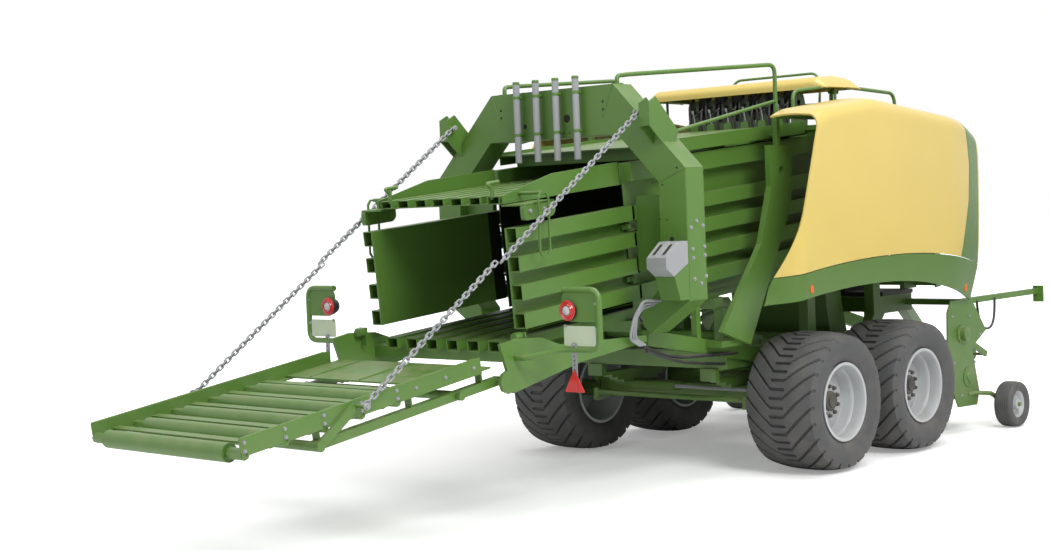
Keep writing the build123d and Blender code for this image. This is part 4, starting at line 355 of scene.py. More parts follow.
def hex_bolts(places, direction, radius, height=None):
    """Hexagon heads on washers: one head's points repeated over an array of places."""
    height = height or radius * 0.9
    head, head_faces = turned([(0, 0), (0, radius * 1.35), (radius * 0.22, radius * 1.35),
                               (radius * 0.22, radius * 1.08), (height, radius), (height * 1.12, radius * 0.8),
                               (height * 1.12, 0)], (0, 0, 0), direction, 6)
    head = head.reshape(-1, 3)
    places = np.asarray(places, dtype=float).reshape(-1, 3)
    points = places[:, None, :] + head[None, :, :]
    faces = head_faces[None, :, :] + (np.arange(len(places)) * len(head))[:, None, None]
    return points.reshape(-1, 3), faces.reshape(-1, 4)


rim_profile = np.array([(0.2766, 0.2770), (0.2768, 0.2990), (0.2700, 0.3000), (0.2660, 0.2955), (0.2630, 0.2857),
                        (-0.2630, 0.2857), (-0.2660, 0.2955), (-0.2700, 0.3000), (-0.2768, 0.2990),
                        (-0.2766, 0.2770), (-0.2560, 0.2700), (-0.20, 0.2690), (-0.16, 0.2540), (0.035, 0.2540),
                        (0.040, 0.2480), (0.062, 0.2400), (0.080, 0.2150), (0.100, 0.1600), (0.112, 0.1300),
                        (0.117, 0.0800), (0.122, 0.0780), (0.122, 0.0), (0.130, 0.0), (0.130, 0.0840),
                        (0.126, 0.1320), (0.113, 0.1680), (0.093, 0.2230), (0.079, 0.2480), (0.088, 0.2540),
                        (0.150, 0.2540), (0.176, 0.2620), (0.182, 0.2680), (0.220, 0.2690), (0.262, 0.2705)])
hub_profile = np.array([(0.120, 0.0), (0.120, 0.078), (0.150, 0.076), (0.156, 0.068), (0.160, 0.052),
                        (0.170, 0.050), (0.172, 0.044), (0.172, 0.0)])
nut_angle = 2 * np.pi * np.arange(10) / 10
for wheel_x, place in ((0.53, "rear"), (1.71, "front")):
    for side, hand in ((-1, "right"), (1, "left")):
        centre = np.array([wheel_x, side * wheel_y, axle_z])
        barrel = turned(np.concatenate([rim_profile, rim_profile[:1]]) * (side, 1), centre, (0, 1, 0), 96)
        make_piece(f"rim_{place}_{hand}_steel", [barrel], silver, f"wheel_{place}_{hand}",
                   hides=[f"rim_{place}_{hand}"])
        nut_places = centre + np.column_stack([0.1125 * np.sin(nut_angle), np.full(10, side * 0.127),
                                               0.1125 * np.cos(nut_angle)])
        make_piece(f"hub_{place}_{hand}", [turned(hub_profile * (side, 1), centre, (0, 1, 0), 48),
                                           hex_bolts(nut_places, (0, side, 0), 0.015, 0.022)],
                   hub_black, f"wheel_{place}_{hand}")

# Side hoods: glass-fibre mouldings in cream yellow over a green skirt, with a green band and a
# thin yellow trim along their front edge. Each hangs on its hinges and swings up as one.
def sheet_shell(points, thickness, inward):
    """A grid of points and the same grid set back along its normals, joined round the rim."""
    points = np.asarray(points, dtype=float)
    down = np.gradient(points, axis=0)
    over = np.gradient(points, axis=1)
    normal = np.cross(down, over)
    normal /= np.maximum(np.linalg.norm(normal, axis=-1, keepdims=True), 1e-9)
    if (normal * np.asarray(inward)).sum() < 0:
        normal = -normal
    rows, columns = points.shape[:2]
    faces = grid_faces(rows, columns)
    count = rows * columns
    rim = np.concatenate([np.arange(columns), (np.arange(1, rows) * columns + columns - 1),
                          (rows - 1) * columns + np.arange(columns - 2, -1, -1),
                          np.arange(rows - 2, 0, -1) * columns])
    after = np.roll(rim, -1)
    walls = np.column_stack([rim, after, after + count, rim + count])
    return (np.concatenate([points.reshape(-1, 3), (points + normal * thickness).reshape(-1, 3)]),
            np.concatenate([faces, faces + count, walls]))


yellow = sprayed_paint("cream_yellow_gelcoat", (0.63, 0.485, 0.130), (0.585, 0.440, 0.112), 0.24, 0.06,
                       (0.75, 0.62, 0.33), edge_width=0.002, peel=0.012)
skirt_green = sprayed_paint("skirt_green_gelcoat", (0.074, 0.164, 0.018), (0.064, 0.146, 0.015), 0.26, 0.25,
                            (0.22, 0.33, 0.14), edge_width=0.002, peel=0.012)
hood_top_x = (-1.0, 0.35, 0.512, 1.208, 2.626, 2.82, 3.1)
hood_top_z = (2.36, 2.700, 2.768, 2.846, 2.700, 2.633, 2.54)


def hood_surface(run, rise, low, side):
    """The outer skin: a wall that leans in at both ends, rolled over into a flat top. The run is
    the distance along the hood at the arched line, and the rise goes from the low line up the
    wall, round a quarter circle and inwards along the top."""
    roll = 0.115
    knots = np.linspace(0, 1, 64)
    top = np.interp(run, hood_top_x, hood_top_z)
    top = (top + np.interp(run - 0.06, hood_top_x, hood_top_z) + np.interp(run + 0.06, hood_top_x, hood_top_z)) / 3
    wall = np.clip(rise / 0.62, 0, 1)
    bend = np.clip((rise - 0.62) / 0.14, 0, 1) * np.pi / 2
    inward = np.clip((rise - 0.76) / 0.24, 0, 1)
    height = low + (top - roll - low) * wall + roll * np.sin(bend)
    lean = 0.36 * np.clip(height - 1.75, -1, 1.1)
    plan = 0.190 * np.clip((0.10 - run) / 0.19, 0, 1) ** 1.6 + 0.085 * np.clip((run - 2.35) / 0.60, 0, 1) ** 1.5
    belly = 0.030 * np.clip((1.75 - height) / 0.55, 0, 1) ** 2
    skin = 1.444 - plan - belly - 0.012 * ((height - 2.1) / 0.7) ** 2
    inner = 0.986 + 0.0 * run
    across = skin - roll * (1 - np.cos(bend)) - (skin - roll - inner) * inward
    return np.stack([run + lean * 0, side * across, height + 0.010 * np.sin(np.pi * inward)], axis=-1)


def hood_patch(edges, lows, side, columns, rows, highs=None):
    """A patch of the skin between two leaning edges, each given as pairs of height and run."""
    rise = np.linspace(0, 1, rows)[None, :]
    share = np.linspace(0, 1, columns)[:, None]
    run = np.broadcast_to((edges[0][-1][1] + edges[1][-1][1]) / 2, (columns, rows)).astype(float)
    for _ in range(3):
        low = lows(run)
        points = hood_surface(run, rise if highs is None else rise * highs(run, low), low, side)
        ends = [np.interp(points[..., 2], [pair[0] for pair in edge], [pair[1] for pair in edge]) for edge in edges]
        run = ends[0] + (ends[1] - ends[0]) * share
    low = lows(run)
    return hood_surface(run, rise if highs is None else rise * highs(run, low), low, side)


def panel_low(run):
    """The arched line between panel and skirt, a parabola over the hood's length."""
    return 1.606 - 0.047 * (run - 1.40) ** 2 - 0.012 * np.clip(run - 1.4, 0, 2) ** 3


def skirt_low(run):
    """The skirt's lower edge: level behind, arched over the wheels and lower in front."""
    return 1.395 - 0.060 * (run - 1.15) ** 2 - 0.022 * np.clip(run - 1.2, 0, 2) ** 3


rear_edge = [(1.18, -0.150), (1.50, -0.072), (2.36, 0.236), (2.56, 0.310), (2.78, 0.400)]
band_edge = [(1.18, 2.33), (1.50, 2.480), (2.008, 2.674), (2.321, 2.710), (2.75, 2.637), (2.85, 2.61)]
trim_edge = [(1.18, 2.835), (1.50, 2.975), (1.918, 2.930), (2.386, 2.955), (2.68, 2.890), (2.85, 2.85)]
nose_edge = [(1.18, 2.800), (1.45, 2.935), (1.918, 2.955), (2.386, 2.968), (2.68, 2.905), (2.85, 2.86)]
amber = sprayed_paint("amber_reflector", (0.80, 0.16, 0.01), (0.60, 0.10, 0.01), 0.15, 0.1, (0.8, 0.3, 0.1))
for side, hand in ((-1, "right"), (1, "left")):
    skin = hood_patch((rear_edge, band_edge), panel_low, side, 70, 64)
    make_piece(f"hood_{hand}_panel", [sheet_shell(skin, 0.014, (0, -side, 0))], yellow, f"hood_{hand}",
               crease=50, hides=[f"hood_{hand}"])
    band = hood_patch(([(z, x + 0.006) for z, x in band_edge], [(z, x - 0.022) for z, x in nose_edge]), panel_low,
                      side, 16, 64)
    make_piece(f"hood_{hand}_band", [sheet_shell(band, 0.014, (0, -side, 0))], skirt_green, f"hood_{hand}",
               crease=50)
    trim = hood_patch(([(z, x - 0.018) for z, x in nose_edge], nose_edge), panel_low, side, 4, 64)
    make_piece(f"hood_{hand}_trim", [sheet_shell(trim, 0.016, (0, -side, 0))], yellow, f"hood_{hand}",
               crease=50)

    def skirt_share(run, low):
        """How far up the wall the skirt goes: its depth over the whole wall's height."""
        top = np.interp(run, hood_top_x, hood_top_z) - 0.115
        return 0.62 * (panel_low(run) - 0.006 - low) / (top - low)

    skirt = hood_patch((rear_edge, nose_edge), skirt_low, side, 90, 14, highs=skirt_share)
    make_piece(f"hood_{hand}_skirt", [sheet_shell(skirt, 0.016, (0, -side, 0))], skirt_green, f"hood_{hand}",
               crease=50, hides=[f"hood_skirt_{hand}"])
    glow = []
    for x, z in ((0.203, 1.405), (2.640, 1.262)):
        turn = 2 * np.pi * np.arange(28) / 28
        rings = [(0.0, 0.0), (0.5, 0.006), (0.93, 0.005), (1.0, 0.0)]
        skin_y = np.abs(hood_surface(np.array(x), np.array(0.0), np.array(z), 1)[1])
        dome = np.stack([np.stack([x + 0.021 * size * np.cos(turn), np.full(28, side * (skin_y + lift + 0.0005)),
                                   z + 0.034 * size * np.sin(turn)], axis=-1) for size, lift in rings], axis=1)
        glow.append((dome, grid_faces(28, 4, wrap_rows=True)))
    make_piece(f"hood_{hand}_reflectors", glow, amber, f"hood_{hand}", crease=60)

# Support chains: galvanised round-steel links, each turned a quarter against the next, hung
# from a shackle pin on the arch ear and hooked to the chute; the joining link is not drawn.
def rounded(points, bend, steps=7):
    """A path of straight runs whose corners are quadratic curves of a given reach."""
    points = [np.asarray(point, dtype=float) for point in points]
    path = [points[0]]
    share = np.linspace(0, 1, steps)[:, None]
    for before, corner, after in zip(points, points[1:], points[2:]):
        reach = min(bend, 0.49 * np.linalg.norm(before - corner), 0.49 * np.linalg.norm(after - corner))
        start = corner + (before - corner) / np.linalg.norm(before - corner) * reach
        end = corner + (after - corner) / np.linalg.norm(after - corner) * reach
        path += list((1 - share) ** 2 * start + 2 * share * (1 - share) * corner + share ** 2 * end)
    path.append(points[-1])
    return np.array(path)


def tube(points, radius, sides=14, bend=0.05, closed=False, ends=True):
    """A round tube along a rounded path; each ring stands square to the run at its point."""
    path = np.asarray(points, dtype=float) if closed else rounded(points, bend)
    run = (np.roll(path, -1, axis=0) - np.roll(path, 1, axis=0)) if closed else np.gradient(path, axis=0)
    run /= np.linalg.norm(run, axis=1, keepdims=True)
    first = np.cross(run[0], (0, 0, 1) if abs(run[0][2]) < 0.9 else (1, 0, 0))
    first /= np.linalg.norm(first)
    rings, turn = [], 2 * np.pi * np.arange(sides) / sides
    for place, along in zip(path, run):
        first = first - along * (first @ along)
        first /= np.linalg.norm(first)
        second = np.cross(along, first)
        rings.append(place + radius * (np.cos(turn)[:, None] * first + np.sin(turn)[:, None] * second))
    faces = grid_faces(len(rings), sides, wrap_rows=closed, wrap_columns=True).tolist()
    if not closed and ends:
        faces += [list(range(sides)), list(range((len(rings) - 1) * sides, len(rings) * sides))]
    return np.concatenate(rings), faces


def chain_links(start, end, pitch, wire, width):
    """Oval links on a line: one link's tube is copied to each place, turned by quarter turns."""
    start, end = np.asarray(start), np.asarray(end)
    length = np.linalg.norm(end - start)
    count = int(round(length / pitch))
    along = (end - start) / length
    side = np.cross(along, (0, 0, 1))
    side /= np.linalg.norm(side)
    up = np.cross(side, along)
    turn = 2 * np.pi * (np.arange(12) + 0.5) / 12
    bow = (width - wire) / 2
    straight = (length / count + wire) / 2 - bow
    oval = np.column_stack([bow * np.cos(turn) + np.sign(np.cos(turn)) * max(straight, 0), bow * np.sin(turn)])
    parts = []
    for index in range(count):
        middle = start + along * (length * (index + 0.5) / count)
        flat = (side + up) if index % 2 else (side - up)
        parts.append(tube(middle + oval[:, :1] * along + oval[:, 1:] * flat / 2 ** 0.5, wire / 2, 6, closed=True))
    return parts


zinc = sprayed_paint("hot_dipped_zinc", (0.34, 0.35, 0.36), (0.20, 0.21, 0.22), 0.38, 0.1, (0.55, 0.55, 0.55))
for side, hand in ((-1, "right"), (1, "left")):
    shackle = np.array([-1.146, side * 0.916, 2.726])
    hook = np.array([-3.7306, side * 0.834, 0.960])
    knee = shackle + (hook - shackle) * 0.55
    aside = np.array([0, side * 0.0225, 0])
    make_piece(f"chain_upper_{hand}_links", chain_links(shackle, knee + aside, 0.040, 0.0135, 0.043), zinc,
               f"chain_upper_{hand}", crease=80, hides=[f"chain_upper_{hand}"])
    make_piece(f"chain_lower_{hand}_links", chain_links(hook, knee - aside, 0.040, 0.0135, 0.043), zinc,
               f"chain_lower_{hand}", crease=80, hides=[f"chain_lower_{hand}"])

# Guide rods: four bright steel rods that steer the top flap, each with a green end cap and
# held off the arch beam's rear face by two welded brackets.
chrome = sprayed_paint("ground_steel_rod", (0.34, 0.35, 0.36), (0.26, 0.27, 0.28), 0.22, 0.05, (0.6, 0.6, 0.6))
rod_sides = (np.arange(4) - 1.5) * 0.195
rod_parts, cap_parts = [], []
for across in rod_sides:
    rod_parts.append(turned([(0, 0), (0, 0.020), (0.005, 0.0255), (0.590, 0.0255), (0.590, 0)],
                            (-1.080, across, 2.424), (0, 0, 1), 32))
    cap_parts.append(turned([(0, 0), (0, 0.0268), (0.016, 0.0268), (0.021, 0.022), (0.021, 0)],
                            (-1.080, across, 3.014), (0, 0, 1), 32))
    for height in (2.901, 2.622):
        cap_parts.append(tube([(-1.060, across, height + 0.014), (-1.029, across, height + 0.014)], 0.012, 6))
        cap_parts.append(turned([(-0.011, 0.0258), (-0.011, 0.0269), (0.011, 0.0269), (0.011, 0.0258),
                                 (-0.011, 0.0258)], (-1.080, across, height + 0.014), (0, 0, 1), 32))
make_piece("guide_rods_steel", rod_parts, chrome, "frame", hides=["guide_rods"])
make_piece("guide_rod_caps", cap_parts, green, "frame")

# Handrails: bent steel tube, green, from the arch's corners to posts beside the knotters, a
# mid rail, a low front rail over each hood's edge and a thin cross rail ahead of the lid.
hand_parts = []
for side in (-1, 1):
    hand_parts += [
        tube([(-0.925, side * 0.558, 2.955), (-0.925, side * 0.558, 3.018), (-0.80, side * 0.576, 3.031),
              (0.73, side * 0.80, 3.136), (0.73, side * 0.80, 2.56)], 0.0165, 16, bend=0.075),
        tube([(-0.57, side * 0.773, 2.60), (-0.40, side * 0.776, 2.633), (0.715, side * 0.80, 2.848)], 0.0135, 14),
        tube([(0.73, side * 0.80, 2.581), (0.73, side * 0.752, 2.581)], 0.0165, 12),
        tube([(0.88, side * 0.862, 2.72), (0.88, side * 0.862, 2.925), (1.50, side * 0.862, 2.985),
              (2.46, side * 0.845, 2.945), (2.50, side * 0.845, 2.69)], 0.0150, 14, bend=0.08),
        tube([(1.50, side * 0.862, 2.985), (1.50, side * 0.862, 2.72)], 0.0120, 12),
        tube([(1.8172, side * 0.6475, 2.960), (1.8172, side * 0.6055, 2.960)], 0.0165, 20),
        tube([(1.8172, side * 0.6265, 2.655), (1.8172, side * 0.6265, 2.940)], 0.0205, 4, bend=0)]
    hand_parts.append(turned([(0, 0), (0, 0.045), (0.008, 0.045), (0.008, 0)], (-0.925, side * 0.558, 2.9548),
                             (0, 0, 1), 24))
hand_parts += [tube([(1.8172, -0.6265, 2.860), (1.8172, 0.6265, 2.860)], 0.0165, 12),
               tube([(1.86, -0.47, 2.70), (1.90, -0.47, 3.02), (1.93, -0.42, 3.138), (1.93, 0.42, 3.138),
                     (1.90, 0.47, 3.02), (1.86, 0.47, 2.70)], 0.0110, 12, bend=0.09)]
make_piece("handrail_tubes", hand_parts, green, "frame", hides=["handrails"])

# Chute rollers: thin-walled steel drums with pressed end discs and a bolt at each end, on
# pins between the rails, so each turns by itself when a bale slides over it.
for index in range(5):
    run = 2.085 - 0.296 * index
    tilt = radians(8)
    centre = (-2.470 - run * np.cos(tilt) - 0.100 * np.sin(tilt), 0, 0.972 - run * np.sin(tilt) + 0.100 * np.cos(tilt))
    half = [(0, 0.0), (0.739, 0.0), (0.739, 0.0135), (0.600, 0.0135), (0.596, 0.019), (0.590, 0.038), (0.594, 0.050),
            (0.600, 0.053), (0.600, 0.0565), (0.300, 0.0568), (0.150, 0.0570), (0.0, 0.0570)]
    drum = [(-along, reach) for along, reach in half[1:]] + [(along, reach) for along, reach in half[:0:-1]]
    make_piece(f"chute_roller_{index + 1}_drum", [turned(drum[:-1] + [(0.739, 0.0)], centre, (0, 1, 0), 40)], green,
               f"chute_roller_{index + 1}", crease=40, hides=[f"chute_roller_{index + 1}"])

# Lamps: a red lens with rings round a silver bulb centre in a black rubber housing, and a red
# reflecting triangle with a raised rim on each side.
red = bpy.data.materials.new("red_lens")
red.use_nodes = True
red_tree = red.node_tree
red_place = add_node(red_tree, "TexCoord")
red_cells = add_node(red_tree, "TexVoronoi", [("Vector", red_place.outputs["Object"]), ("Scale", 150.0)])
red_tone = add_node(red_tree, "Mix", [("Factor", red_cells.outputs[0]), (6, (0.62, 0.012, 0.010, 1)),
                                      (7, (0.42, 0.006, 0.006, 1))], data_type="RGBA")
red_tree.links.new(red_tone.outputs[2], red_tree.nodes["Principled BSDF"].inputs["Base Color"])
red_bump = add_node(red_tree, "Bump", [("Strength", 0.3), ("Distance", 0.003), ("Height", red_cells.outputs[0])])
red_tree.links.new(red_bump.outputs[0], red_tree.nodes["Principled BSDF"].inputs["Normal"])
red_tree.nodes["Principled BSDF"].inputs["Roughness"].default_value = 0.15
red_tree.nodes["Principled BSDF"].inputs["Coat Weight"].default_value = 0.6
# The plates under the lamps: green painted sheet, made pale by a painted reflection of the bright sky.
pale = sprayed_paint("plate_paint_with_painted_reflection", (0.50, 0.58, 0.42), (0.42, 0.50, 0.35), 0.4, 0.3, (0.4, 0.4, 0.4), edge_width=0.001)


def slab(outline, origin, across, up, thickness):
    """A flat plate: an outline of pairs, laid out from an origin along two directions."""
    outline = np.asarray(outline, dtype=float)
    across, up = np.asarray(across, dtype=float), np.asarray(up, dtype=float)
    normal = np.cross(across, up)
    front = np.asarray(origin) + outline[:, :1] * across + outline[:, 1:] * up
    count = len(front)
    ring = np.arange(count)
    walls = np.column_stack([ring, (ring + 1) % count, (ring + 1) % count + count, ring + count]).tolist()
    return (np.concatenate([front - normal * thickness / 2, front + normal * thickness / 2]),
            walls + [list(range(count)), list(range(count, 2 * count))])


def round_corners(outline, bend, steps=6):
    """A closed outline of pairs whose corners are rounded by quadratic curves."""
    outline = [np.asarray(pair, dtype=float) for pair in outline]
    middle = (outline[0] + outline[-1]) / 2
    return rounded([middle] + outline + [middle], bend, steps)[:-1]


lens_parts, silver_parts, rubber_parts, board_parts, plate_parts, strip_parts = [], [], [], [], [], []
for side in (-1, 1):
    lamp = np.array([-2.2546, side * 1.171, 1.425])
    lens_parts.append(turned([(0.0, 0.0665), (0.012, 0.0665), (0.017, 0.061), (0.015, 0.056), (0.021, 0.052),
                              (0.019, 0.046), (0.026, 0.042), (0.024, 0.034), (0.016, 0.033), (0.0, 0.033),
                              (0.0, 0.0665)], lamp, (-1, 0, 0), 48))
    silver_parts.append(turned([(0.002, 0.0), (0.002, 0.0335), (0.022, 0.031), (0.030, 0.020), (0.0335, 0.0)], lamp,
                               (-1, 0, 0), 40))
    rubber_parts.append(turned([(-0.062, 0.0), (-0.060, 0.048), (-0.030, 0.062), (-0.002, 0.0675), (0.010, 0.0678),
                                (0.010, 0.0667), (0.0, 0.066), (0.0, 0.0)], lamp, (-1, 0, 0), 48))
    triangle = round_corners([(-0.085, 0.0), (0.085, 0.0), (0.0, 0.148)], 0.016)
    inner = round_corners([(-0.052, 0.020), (0.052, 0.020), (0.0, 0.112)], 0.010)
    lens_parts += [slab(triangle, (-2.2605, side * 1.208, 0.900), (0, 1, 0), (0, 0, 1), 0.006),
                   slab(inner, (-2.2645, side * 1.208, 0.900), (0, 1, 0), (0, 0, 1), 0.004)]
    board = round_corners([(-0.150, -0.078), (0.105, -0.078), (0.150, -0.020), (0.150, 0.090), (0.110, 0.130),
                           (-0.110, 0.130), (-0.150, 0.090)], 0.05)
    board[:, 0] *= -side
    board_parts += [
        slab(board, (-2.2440, side * 1.262, 1.430), (0, 1, 0), (0, 0, 1), 0.005),
        tube([(-2.398, side * 0.828, 1.124), (-2.390, side * 0.915, 1.124), (-2.243, side * 1.10, 1.170),
              (-2.241, side * 1.418, 1.170), (-2.241, side * 1.418, 1.558), (-2.241, side * 1.121, 1.558)], 0.0205, 16,
             bend=0.075)]
    plate_outline = round_corners([(-0.135, 0.0), (0.135, 0.0), (0.135, 0.128), (-0.135, 0.128)], 0.018)
    plate_parts.append(slab(plate_outline, (-2.2445, side * 1.255, 1.198), (0, 1, 0), (0, 0, 1), 0.004))
    strip_parts.append(slab(round_corners([(-0.021, 0.0), (0.021, 0.0), (0.021, 0.215), (-0.021, 0.215)], 0.008),
                            (-2.2520, side * 1.208, 0.999), (0, 1, 0), (0, 0, 1), 0.005))
    for height in np.arange(7) * 0.028 + 1.018:
        rubber_parts.append(turned([(0, 0), (0, 0.0055), (0.0012, 0.0055), (0.0012, 0)],
                                   (-2.2546, side * 1.208, height), (-1, 0, 0), 10))
    strip_parts.append(hex_bolts([(-2.2470, side * 1.40, 1.30), (-2.2470, side * 1.40, 1.47), (-2.2470, side * 1.135, 1.325),
                                  (-2.2560, side * 1.208, 1.205), (-2.2560, side * 1.208, 0.985)], (-1, 0, 0), 0.009))
make_piece("lamp_lenses", lens_parts, red, "frame", hides=["lamps"])
make_piece("lamp_centres", silver_parts, silver, "frame")
make_piece("lamp_housings", rubber_parts, hub_black, "frame")
make_piece("lamp_boards", board_parts, green, "frame", crease=45, hides=["lamp_carriers"])
make_piece("lamp_plates", plate_parts, pale, "frame")
make_piece("lamp_strips", strip_parts, zinc, "frame")

# Bale chamber: green outside, with painted shade inside that darkens it, the more so the
# deeper it lies. The mask is the space between the side sheets, above the floor, under the roof.
# The chamber's green paint, which carries the painted shade mixed in below.
chamber_shaded_paint = sprayed_paint("chamber_green_paint_with_painted_shade", (0.094, 0.200, 0.034), (0.072, 0.160, 0.025), 0.36, 0.35,
                       (0.20, 0.31, 0.12))
chamber_shade_tree = chamber_shaded_paint.node_tree
chamber_shade_place = add_node(chamber_shade_tree, "TexCoord")
chamber_shade_axes = add_node(chamber_shade_tree, "SeparateXYZ", [(0, chamber_shade_place.outputs["Object"])])
chamber_shade_rise = add_node(chamber_shade_tree, "VectorMath", [(0, chamber_shade_place.outputs["Object"]), (1, (-0.08716, 0.0, 0.99619))],
                       operation="DOT_PRODUCT")
chamber_shade_aside = add_node(chamber_shade_tree, "Math", [(0, chamber_shade_axes.outputs[1])], operation="ABSOLUTE")
chamber_shade_between = add_node(chamber_shade_tree, "Math", [(0, chamber_shade_aside.outputs[0]), (1, 0.6135)], operation="LESS_THAN")
chamber_shade_under = add_node(chamber_shade_tree, "Math", [(0, chamber_shade_rise.outputs["Value"]), (1, 2.3125)], operation="LESS_THAN")
chamber_shade_over = add_node(chamber_shade_tree, "Math", [(0, chamber_shade_rise.outputs["Value"]), (1, 1.395)], operation="GREATER_THAN")
# Painted shade depth: none at x -2.6, full at x -1.55, towards the front of the chamber.
painted_shade_depth = add_node(chamber_shade_tree, "MapRange", [("Value", chamber_shade_axes.outputs[0]), ("From Min", -2.6),
                                                 ("From Max", -1.55)])
chamber_shade_inside = add_node(chamber_shade_tree, "Math", [(0, chamber_shade_between.outputs[0]), (1, chamber_shade_under.outputs[0])],
                         operation="MULTIPLY")
chamber_shade_space = add_node(chamber_shade_tree, "Math", [(0, chamber_shade_inside.outputs[0]), (1, chamber_shade_over.outputs[0])],
                        operation="MULTIPLY")
painted_shade_mask = add_node(chamber_shade_tree, "Math", [(0, chamber_shade_space.outputs[0]), (1, painted_shade_depth.outputs[0])],
                       operation="MULTIPLY")
chamber_shade_shader = chamber_shade_tree.nodes["Principled BSDF"]
# Painted shade: near-black green mixed over the paint inside the chamber by the mask.
painted_shade_mix = add_node(chamber_shade_tree, "Mix", [("Factor", painted_shade_mask.outputs[0]),
                                           (6, chamber_shade_shader.inputs["Base Color"].links[0].from_socket),
                                           (7, (0.007, 0.014, 0.004, 1))], data_type="RGBA")
chamber_shade_tree.links.new(painted_shade_mix.outputs[2], chamber_shade_shader.inputs["Base Color"])
coat_nodes(chamber_shaded_paint, "chamber_walls", "chamber_roof", "chamber_floor", "side_flap_left", "side_flap_right", "top_flap")

# Bolts, lugs and latch blocks on the chamber: zinc hexagon bolts with washers, and a pressed
# block at each rear corner of the top flap with a hooked handle rod above it.
# Near-black painted shade, laid as thin discs and plates in holes and slots whose insides lie in shade.
hole_shade = sprayed_paint("painted_hole_shade", (0.006, 0.008, 0.005), (0.004, 0.005, 0.003), 0.8, 0.1, (0.02, 0.03, 0.01))
flap_parts, flap_bolts = [], []
for side in (-1, 1):
    block_outline = round_corners([(-0.155, -0.060), (0.120, -0.060), (0.155, -0.030), (0.155, 0.052),
                                   (-0.155, 0.040)], 0.022)
    flap_parts.append(slab(block_outline, (-2.075, side * 0.782, 2.082), (0.9962, 0, 0.0872), (-0.0872, 0, 0.9962),
                           0.036))
    flap_parts.append(slab([(-0.150, 0.590), (0.145, 0.590), (0.145, 0.800), (-0.150, 0.800)] if side > 0 else
                           [(-0.150, -0.590), (0.145, -0.590), (0.145, -0.800), (-0.150, -0.800)],
                           (-2.077, 0, 2.126), (0.9962, 0, 0.0872), (0, 1, 0), 0.012))
    flap_bolts.append(hex_bolts([(-2.175, side * 0.800, 2.072), (-2.035, side * 0.800, 2.084)], (0, side, 0), 0.013))
    flap_parts += [tube([(-2.215, side * 0.50, 2.158), (-2.215, side * 0.50, 2.235), (-2.270, side * 0.50, 2.262),
                         (-2.150, side * 0.50, 2.275)], 0.014, 10, bend=0.03)]
make_piece("top_flap_blocks", flap_parts, green, "top_flap", crease=40)
make_piece("top_flap_bolts", flap_bolts, zinc, "top_flap")

# Arch: flanged and bolted where its legs meet the beam; holes and a bore in its rear face are
# discs of painted shade, welds run over the kinks, and ten bolts hold the side plate on each leg.
arch_bolts, arch_hole_shades, arch_welds = [], [], []
bolt_rows = ((-0.922, 1.954), (-0.990, 1.910), (-0.851, 1.920), (-0.979, 1.760), (-0.840, 1.772), (-0.975, 1.699),
             (-0.838, 1.711), (-0.967, 1.551), (-0.832, 1.565), (-0.891, 1.516))
for side in (-1, 1):
    arch_bolts.append(hex_bolts([(x, side * 1.2202, z) for x, z in bolt_rows], (0, side, 0), 0.012))
    arch_welds.append(slab(round_corners([(-0.098, -0.30), (0.098, -0.30), (0.098, 0.62), (-0.098, 0.62)], 0.012),
                           (-0.925, side * 1.2195, 1.71), (1, 0, 0), (0, 0, 1), 0.004))
    for y, z, reach in ((0.505, 2.835, 0.0095), (0.505, 2.778, 0.0095), (1.15, 2.330, 0.008), (0.93, 2.235, 0.008),
                        (1.018, 2.216, 0.007), (0.985, 1.974, 0.007), (1.05, 1.969, 0.007), (1.086, 1.831, 0.019)):
        arch_hole_shades.append(turned([(0, 0), (0, reach), (0.0012, reach * 0.96), (0.0012, 0)],
                                 (-1.0301, side * y, z), (-1, 0, 0), 20))
    arch_welds.append(tube([(-1.0305, side * 1.222, 2.330), (-1.0305, side * 0.987, 2.2327)], 0.0045, 8))
    arch_welds.append(tube([(-1.0305, side * 0.600, 2.952), (-1.0305, side * 0.505, 2.722)], 0.0035, 8))
for y, z, reach in ((-0.157, 2.734, 0.030), (0.262, 2.700, 0.018)):
    arch_hole_shades.append(turned([(0, 0), (0, reach), (0.0012, reach * 0.96), (0.0012, 0)], (-1.0301, y, z), (-1, 0, 0), 28))
for y in np.arange(4) * 0.055 - 0.235:
    arch_hole_shades.append(turned([(0, 0), (0, 0.006), (0.0012, 0.0056), (0.0012, 0)], (-1.0301, y, 2.627), (-1, 0, 0), 14))
for side in (-1, 1):
    arch_bolts.append(turned([(0, 0), (0, 0.021), (0.012, 0.021), (0.016, 0.016), (0.016, 0)],
                             (-1.146, side * 0.8955, 2.726), (0, -side, 0), 20))
make_piece("arch_bolts", arch_bolts, zinc, "frame")
make_piece("arch_hole_shades", arch_hole_shades, hole_shade, "frame")
make_piece("arch_welds", arch_welds, green, "frame")

